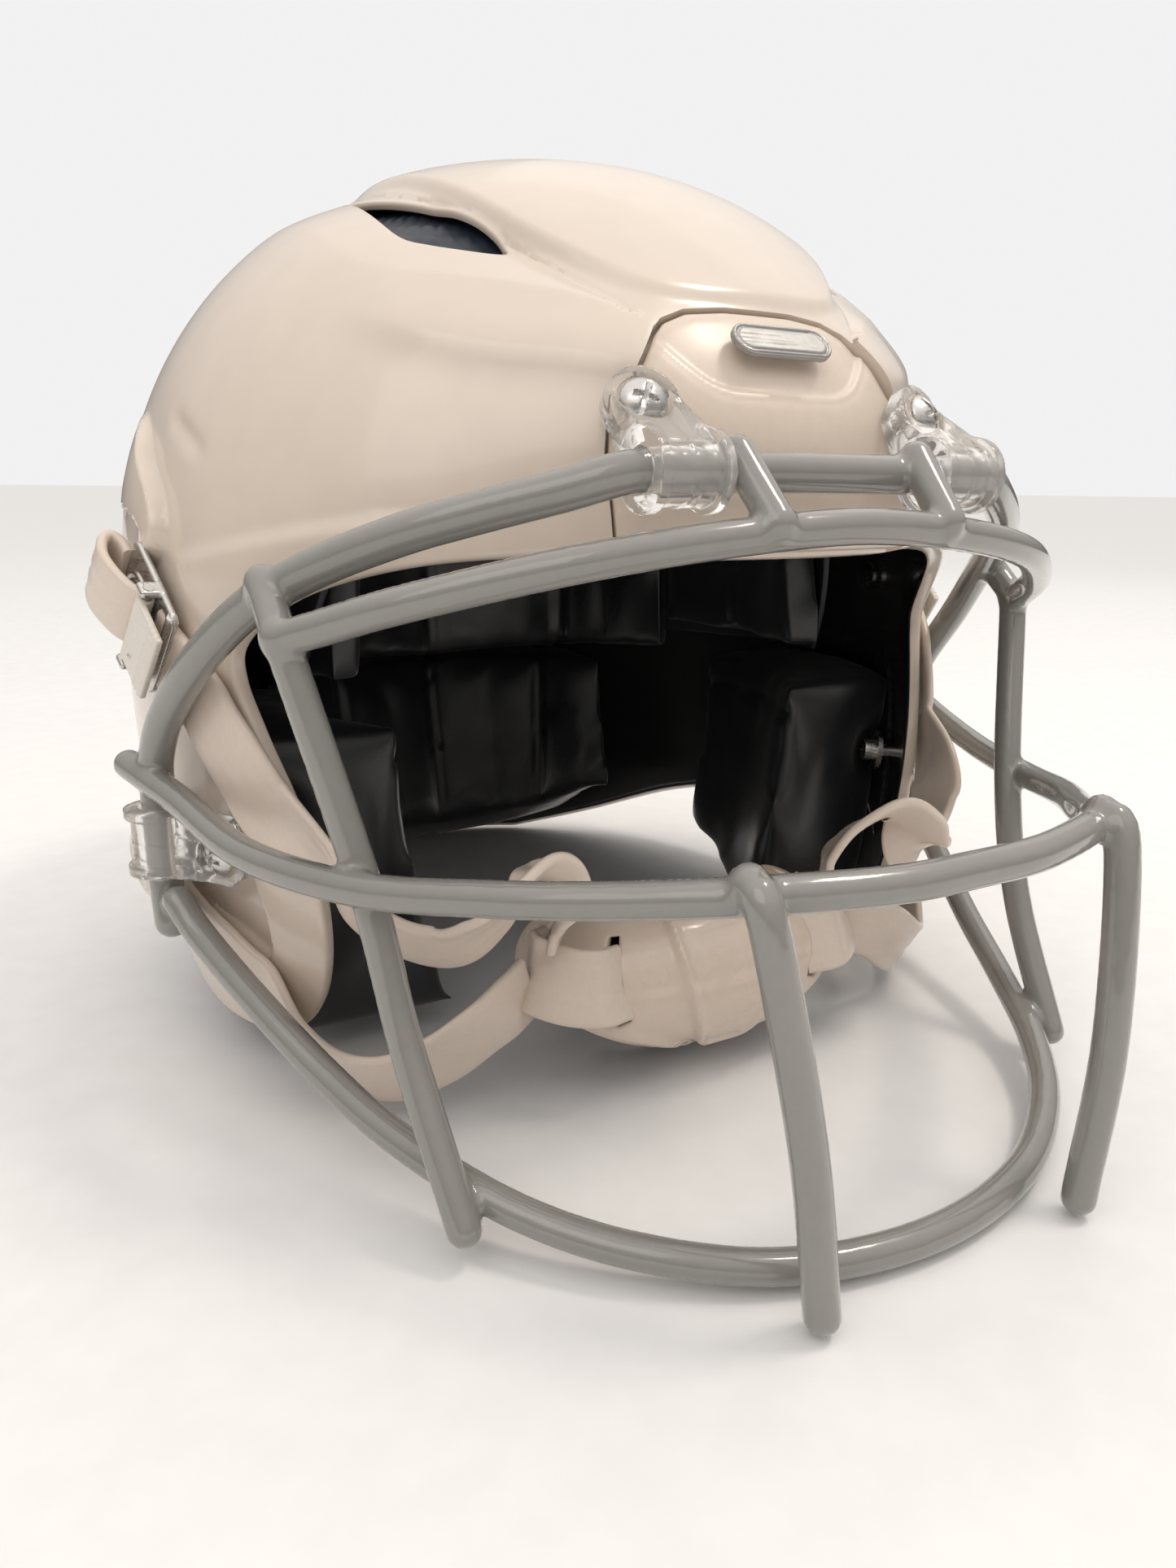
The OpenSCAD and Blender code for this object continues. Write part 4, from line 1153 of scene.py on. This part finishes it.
v, f = direction_patch((-84, 84), (-60, 40), 210, 126)
CUP_EDGE = catmull([(0, 38), (28, 38.5), (50, 37), (68, 35), (79, 30), (82, 20), (76, 8.5), (62, -1), (48, -10),
                    (36, -19), (24, -30), (12, -41), (0, -45)], 4)
CUP_EDGE = np.concatenate([CUP_EDGE, CUP_EDGE[-2:0:-1] * np.array([-1, 1])])
CUP_HALF = [(-34, 60), (-27, 30), (-13, -22), (-9, -26)]
CUP_PANEL = np.array(CUP_HALF + [(-az, el) for az, el in CUP_HALF[::-1]], float)


def box_sdf(q, centre, turn, half):
    c, s = math.cos(math.radians(turn)), math.sin(math.radians(turn))
    w = q - np.array(centre)
    a, b = np.abs(w[:, 0] * c + w[:, 1] * s), np.abs(w[:, 1] * c - w[:, 0] * s)
    return 1 - round_corner(a - half[0] + 1, b - half[1] + 1)


def cup_cut(v):
    az, el = angles(v)
    m = np.stack([np.abs(az), el], axis=1)
    edge = flat_sdf(np.stack([az, el], axis=1), CUP_EDGE) - 1.5
    slots = np.maximum(box_sdf(m, (44.5, 9), -14, (2.6, 15)), box_sdf(m, (70, 16), -14, (2.4, 12)))
    vent = box_sdf(m, (16, -29), 30, (4.6, 2.0))
    return np.minimum(edge, -np.maximum(slots, vent) - 1.0)


v, f = cut(v, f, cup_cut)
n_cup = CUP.normal(v)
q = np.stack(angles(v), axis=1)
panel = flat_sdf(q, CUP_PANEL) * 0.8
out = 1.5 * smooth((panel + 1.2) / 2.6) + 0.9 * np.exp(-((panel - 1.2) / 1.6) ** 2)
rib = flat_sdf(q, CUP_EDGE * np.array([0.8, 0.78]) + np.array([0, -3]))
out += 1.1 * np.exp(-((rib + 1) / 3.2) ** 2) * smooth((10 - q[:, 1]) / 14)
sheet = close_sheet(CUP.skin(v) + (out - 0.9)[:, None] * n_cup, CUP.skin(v, 3.2), n_cup, f, bulge=1.2)
piece("chin_cup", *sheet, "shell_gloss", M_CUP, body="chin_cup", sharp=50)

# ---------------------------------------------------------------- buckles and snaps

def rounded_box(q, centre, half, r):
    w = np.abs(q - np.array(centre)) - np.array(half) + r
    return np.sqrt((np.maximum(w, 0) ** 2).sum(1)) + np.minimum(w.max(1), 0) - r


def buckle_sdf(p):
    q = (p - P) @ B
    x, y, z = q.T
    plate = rounded_box(q, (5, 0, 2.6), (14, 13, 0.85), 0.7)
    plate = np.maximum(plate, round_corner(np.abs(x - 5) - 11, np.abs(y) - 10) - 3)
    r = np.hypot(x, y)
    socket = np.maximum(np.abs(r - 4.1) - 1.45, np.abs(z - 3.4) - 1.7)
    ring = np.hypot(r - 7.2, z - 3.5) - 0.7
    ears = rounded_box(np.stack([x, np.abs(y), z], 1), (8, 12, 4.8), (2.2, 1.0, 3.0), 0.8)
    bar = np.maximum(np.hypot(x - 17, z - 2.9) - 1.35, np.abs(y) - 12)
    body = smooth_min(smooth_min(plate, np.minimum(socket, ring), 0.6), np.minimum(ears, bar), 0.5)
    window = -rounded_box(q, (13, 0, 3), (2.25, 10.4, 9), 0.9)
    pin_hole = 1.2 - np.hypot(x - 8, z - 5.6)
    return np.maximum(np.maximum(body, window), np.maximum(2.56 - r, pin_hole))


def lever_sdf(p):
    q = (p - P) @ B - [8, 0, 5.6]
    x, y, z = q.T
    barrel = np.maximum(np.hypot(x, z) - 2.1, np.abs(y) - 9.8)
    blade = rounded_box(q, (7.2, 0, 1.35), (7.2, 9.8, 0.85), 0.6)
    grip = sum(0.28 * np.exp(-((x - c) / 0.45) ** 2) for c in (9.5, 11.2, 12.9))
    return np.maximum(smooth_min(barrel, blade - grip * (z > 1.2), 1.0), 1.25 - np.hypot(x, z))


low_p, low_n = skin_frame(84, -25)


def snap_sdf(p):
    q = p - low_p
    z = q @ low_n
    r = np.linalg.norm(q - z[:, None] * low_n, axis=1)
    body = round_corner(r - 8.0, np.abs(z - 5.0) - 1.7) - 1.4
    dish = np.hypot(r, z - 23.4) - 16
    ring = np.hypot(r - 6.4, z - 8.1) - 0.55
    body = smooth_min(np.maximum(body, -dish), ring, 0.6)
    return np.maximum(body, -np.maximum(r - 3.3, z - 6.9))


for name, sdf, body, slot, mat in (
    ("buckle_", buckle_sdf, "buckle_", "stainless", M_STEEL),
    ("buckle_lever_", lever_sdf, "lever_", "white_hardware", M_NYLON),
    ("lower_snap_", snap_sdf, "helmet", "white_hardware", M_NYLON),
):
    lo, hi = box_mm(name + "left")
    pair(name, field_solid(sdf, lo - 1, hi + 1, 0.36), slot, mat, body=body)

# ---------------------------------------------------------------- padded pieces

PAD_FLOOR = 2.0


def places(me):
    """A mesh's vertex places and normals."""
    co, nn = np.zeros((2, len(me.vertices) * 3))
    me.vertices.foreach_get("co", co)
    me.vertex_normals.foreach_get("vector", nn)
    return co.reshape(-1, 3), nn.reshape(-1, 3)


def moved_to(me, co):
    me.vertices.foreach_set("co", co.ravel())
    me.update()


def apply(ob, kind, **values):
    modifier = ob.modifiers.new(kind.lower(), kind)
    for key, value in values.items():
        setattr(modifier, key, value)
    bpy.ops.object.modifier_apply(modifier=modifier.name)


def inflate(ob, start, cap_mm):
    """Lets cloth swell under pressure from start, with no vertex moving more than cap_mm."""
    cloth = ob.modifiers.new("cloth", "CLOTH")
    cloth.settings.quality = 4
    cloth.settings.use_pressure = True
    cloth.settings.uniform_pressure_force = 4.0
    cloth.settings.effector_weights.gravity = 0
    cloth.collision_settings.use_collision = False
    cloth.point_cache.frame_start = 1
    cloth.point_cache.frame_end = 20
    for k in range(1, 21):
        bpy.context.scene.frame_set(k)
    bpy.ops.object.modifier_apply(modifier="cloth")
    bpy.context.scene.frame_set(1)
    move = places(ob.data)[0] - start
    size = np.linalg.norm(move, axis=1, keepdims=True)
    moved_to(ob.data, start + move * np.minimum(1, cap_mm * MM / np.maximum(size, 1e-9)))


def padded(node, cap_mm, channels=(), body="helmet", shrink=1.2, grow=(1, 1, 1), shift=(0, 0, 0)):
    """A cushion from a CAD solid: remeshed, blown up by cloth simulation, then sewn along its channels."""
    ob = added(node + "_cover", frame["nodes"][node].data.copy())
    ob.data.name = node + "_cover"
    bpy.context.view_layer.objects.active = ob
    for o in bpy.context.selected_objects:
        o.select_set(False)
    ob.select_set(True)
    apply(ob, "REMESH", mode="VOXEL", voxel_size=0.0042)
    co, nn = places(ob.data)
    start = co - nn * shrink * MM
    moved_to(ob.data, start)
    inflate(ob, start, cap_mm)
    apply(ob, "SMOOTH", factor=0.5, iterations=3)
    apply(ob, "SUBSURF", levels=1, render_levels=1)
    me = ob.data
    co, nn = places(me)
    middle = (co.max(0) + co.min(0)) / 2
    co = middle + (co - middle) * grow + np.array(shift) * MM
    w = co / MM - PLACED - SHELL.c
    if body == "helmet":
        v = unit(w)
        w = v * np.minimum(np.linalg.norm(w, axis=1), SHELL.reach(v, WALL + 1.5))[:, None]
        w[:, 2] = np.maximum(w[:, 2], PAD_FLOOR - SHELL.c[2])
        co = (w + SHELL.c + PLACED) * MM
    az, el = angles(unit(w))
    az = np.where(az < -150, az + 360, az)
    depth = np.zeros(len(co))
    for kind, value, wide in channels:
        q = (az if kind == "az" else el) - value
        depth += np.exp(-(q / wide) ** 2)
    outward = (nn * unit(w)).sum(1) < -0.2
    moved_to(me, co - nn * (np.minimum(depth, 1) * 1.6 * outward * MM)[:, None])
    me.polygons.foreach_set("use_smooth", np.ones(len(me.polygons), bool))
    me.update()
    finished(ob, M_PAD, body, [node])


padded("brow_pad", 1.6, [("az", 0, 1.0), ("az", -26, 1.0), ("az", 26, 1.0)])
padded("crown_pad", 2.0, [("az", 0, 2.5), ("az", 90, 2.5), ("az", -90, 2.5)], grow=(1.12, 1.1, 1))
for s, label in ((1, "left"), (-1, "right")):
    padded("side_pad_" + label, 2.0, [("az", s * 92, 1.0), ("el", 17, 1.0)], grow=(1, 1.12, 1.12))
    padded("jaw_pad_" + label, 1.6, [("el", -20, 1.0)], grow=(1.16, 1.18, 1.16), shift=(0, 1.0, -2.5))
padded("rear_pad", 2.0, [("az", 180, 1.0), ("az", 150, 1.0), ("az", 210, 1.0), ("el", 14, 1.0)],
       grow=(1.1, 1.03, 1.08))
padded("neck_pad", 2.0, [("az", 180, 1.2), ("az", 205, 1.2), ("az", 155, 1.2)],
       grow=(1.14, 1.03, 1.1), shift=(0, 0, 1.5))
padded("chin_cup_pad", 0.8, body="chin_cup", shrink=0.8)

# ---------------------------------------------------------------- inner cap and shock absorbers

CAP = np.array([(-260, 300), (-70, 300), (-48, 150), (-30, 99), (60, 96), (200, 84), (200, -80), (-260, -80)])
CAP_D, CAP_T = 30.0, 2.0
v, f = direction_cube(84)


def g_cap(v):
    p = SHELL.skin(v, CAP_D)
    holes = [np.linalg.norm(v - heading(a, 52), axis=1) for a in range(0, 360, 36)]
    return np.maximum(flat_sdf(p[:, 1:], CAP) + 1.0, 7 - 110 * np.min(holes, axis=0))


v, f, gone, _ = split(v, f, g_cap, np.zeros(len(v), bool))
n_cap = SHELL.normal(v)
az, el = angles(v)
ribs = np.exp(-((np.mod(az + 18, 36) - 18) * np.cos(np.radians(el)) / 2.2) ** 2)
out = SHELL.skin(v, CAP_D) - (0.6 * ribs)[:, None] * n_cap
piece("bonnet", *close_sheet(out, SHELL.skin(v, CAP_D + CAP_T), n_cap, f[~gone], bulge=0.8, rows=4),
      "absorber_rubber", M_LINER, sharp=50)


def lathe(profile, turns=40):
    """Closed solid of revolution about Z from (radius, height) points that start and end on the axis."""
    pr = np.array(profile[1:-1], float)
    a = np.linspace(0, 2 * math.pi, turns, endpoint=False)
    v = np.stack([pr[:, None, 0] * np.cos(a), pr[:, None, 0] * np.sin(a),
                  np.broadcast_to(pr[:, None, 1], (len(pr), turns))], axis=2).reshape(-1, 3)
    v = np.concatenate([v, [[0, 0, profile[0][1]], [0, 0, profile[-1][1]]]])
    i, j = np.meshgrid(np.arange(len(pr) - 1), np.arange(turns), indexing="ij")
    i, j = i.ravel() * turns, j.ravel()
    k = (j + 1) % turns
    q = np.stack([i + j, i + k, i + turns + k, i + turns + j], axis=1)
    j, k = np.arange(turns), (np.arange(turns) + 1) % turns
    top = (len(pr) - 1) * turns
    t = np.concatenate([np.stack([np.full(turns, len(v) - 2), k, j], 1),
                        np.stack([np.full(turns, len(v) - 1), top + j, top + k], 1)])
    return v, t, q


CUSHION = [(0, -17), (9, -17), (12, -16.7), (12.9, -15.8), (13.1, -14.6), (13.9, -12.2), (13.4, -11.2), (14.5, -9),
           (14.0, -8), (15.0, -5.8), (14.6, -4.8), (15.8, -2.4), (15.9, -1.2), (15.2, -0.35), (13.6, 0), (6, -0.2),
           (4.6, -1.4), (0, -1.6)]
all_v, all_t, all_q, count = [], [], [], 0
for el, azs in ((64, (0, 72, 144, 216, 288)), (33, (64, 104, 140, 180, 220, 256, 296)),
                (2, (98, 136, 180, 224, 262))):
    for az in azs:
        c, n = skin_frame(az, el)
        u = unit(np.cross([0.3, 0.2, 1.0], n))
        cv, ct, cq = lathe(CUSHION, 44)
        all_v.append(c - 9.5 * n + cv @ np.stack([u, np.cross(n, u), n]))
        all_t.append(ct + count)
        all_q.append(cq + count)
        count += len(cv)
piece("shock_absorbers", np.concatenate(all_v), np.concatenate(all_t), np.concatenate(all_q),
      "absorber_rubber", M_ABSORB, sharp=50)

# ---------------------------------------------------------------- CAD nodes that stay

for node in ("clip_nuts", "strap_studs", "lever_pin_right", "lever_pin_left"):
    dress(frame["nodes"][node], M_STEEL)

# ---------------------------------------------------------------- studio

def area(name, place, size, power, colour):
    light = bpy.data.lights.new(name, "AREA")
    light.shape = "RECTANGLE"
    light.size, light.size_y = size
    light.energy = power
    light.color = colour
    ob = added(name, light)
    ob.location = place
    ob.rotation_euler = (Vector((0, 0, 0.11)) - Vector(place)).to_track_quat("-Z", "Y").to_euler()


area("key", (0.6, -0.4, 1.5), (0.34, 0.26), 6, (1.0, 0.92, 0.8))
area("fill", (-1.1, -0.9, 1.35), (1.3, 1.0), 4.5, (1.0, 0.95, 0.92))
area("rim", (1.1, 0.9, 1.1), (1.4, 1.4), 1.4, (1.0, 0.96, 0.92))

# Sky that is bright overhead and dim at the horizon; the camera sees it as a plain pale backdrop.
world = bpy.data.worlds.new("studio")
bpy.context.scene.world = world
world.use_nodes = True
tree = world.node_tree
where = add_node(tree, "ShaderNodeTexCoord").outputs["Generated"]
height = add_node(tree, "ShaderNodeSeparateXYZ", {0: where}).outputs["Z"]
rise = add_node(tree, "ShaderNodeMapRange",
                {"Value": height, "From Min": 0.0, "From Max": 0.9, "To Min": 0.07, "To Max": 1.3})
sky = tree.nodes["Background"]
sky.inputs[0].default_value = (1.0, 0.965, 0.93, 1)
tree.links.new(rise.outputs[0], sky.inputs["Strength"])
plain = add_node(tree, "ShaderNodeBackground", {0: (0.93, 0.93, 0.93, 1), 1: 0.95})
seen = add_node(tree, "ShaderNodeLightPath").outputs["Is Camera Ray"]
choose = add_node(tree, "ShaderNodeMixShader", {0: seen, 1: sky.outputs[0], 2: plain.outputs[0]})
tree.links.new(choose.outputs[0], tree.nodes["World Output"].inputs[0])

FLOOR_R, FLOOR_SIDES = 40.0, 96
turns = [2 * math.pi * i / FLOOR_SIDES for i in range(FLOOR_SIDES)]
rim = [(FLOOR_R * math.cos(a), FLOOR_R * math.sin(a), 0) for a in turns]
me = bpy.data.meshes.new("floor")
me.from_pydata(rim, [], [list(range(FLOOR_SIDES))])
me.materials.append(material("floor_paper", (0.86, 0.86, 0.86), 0.7, second=(0.855, 0.855, 0.855), scale=3))
floor = added("floor", me)
floor.location.z = -0.0006

cam = bpy.data.cameras.new("camera")
cam.sensor_fit = "VERTICAL"
cam.sensor_height = 36
cam.sensor_width = 36
cam.lens = 36 * 1320 / 1927
cam.clip_start = 0.01
camera = added("camera", cam)
turn = Matrix(((0.8747, 0.1208, -0.4694), (-0.4845, 0.2386, -0.8416), (0.0103, 0.9636, 0.2672)))
camera.matrix_world = Matrix.Translation((-0.1554, -0.3075 + PLACED[1] * MM, 0.1515)) @ turn.to_4x4()
bpy.context.scene.camera = camera
bpy.context.scene.view_settings.view_transform = "Standard"
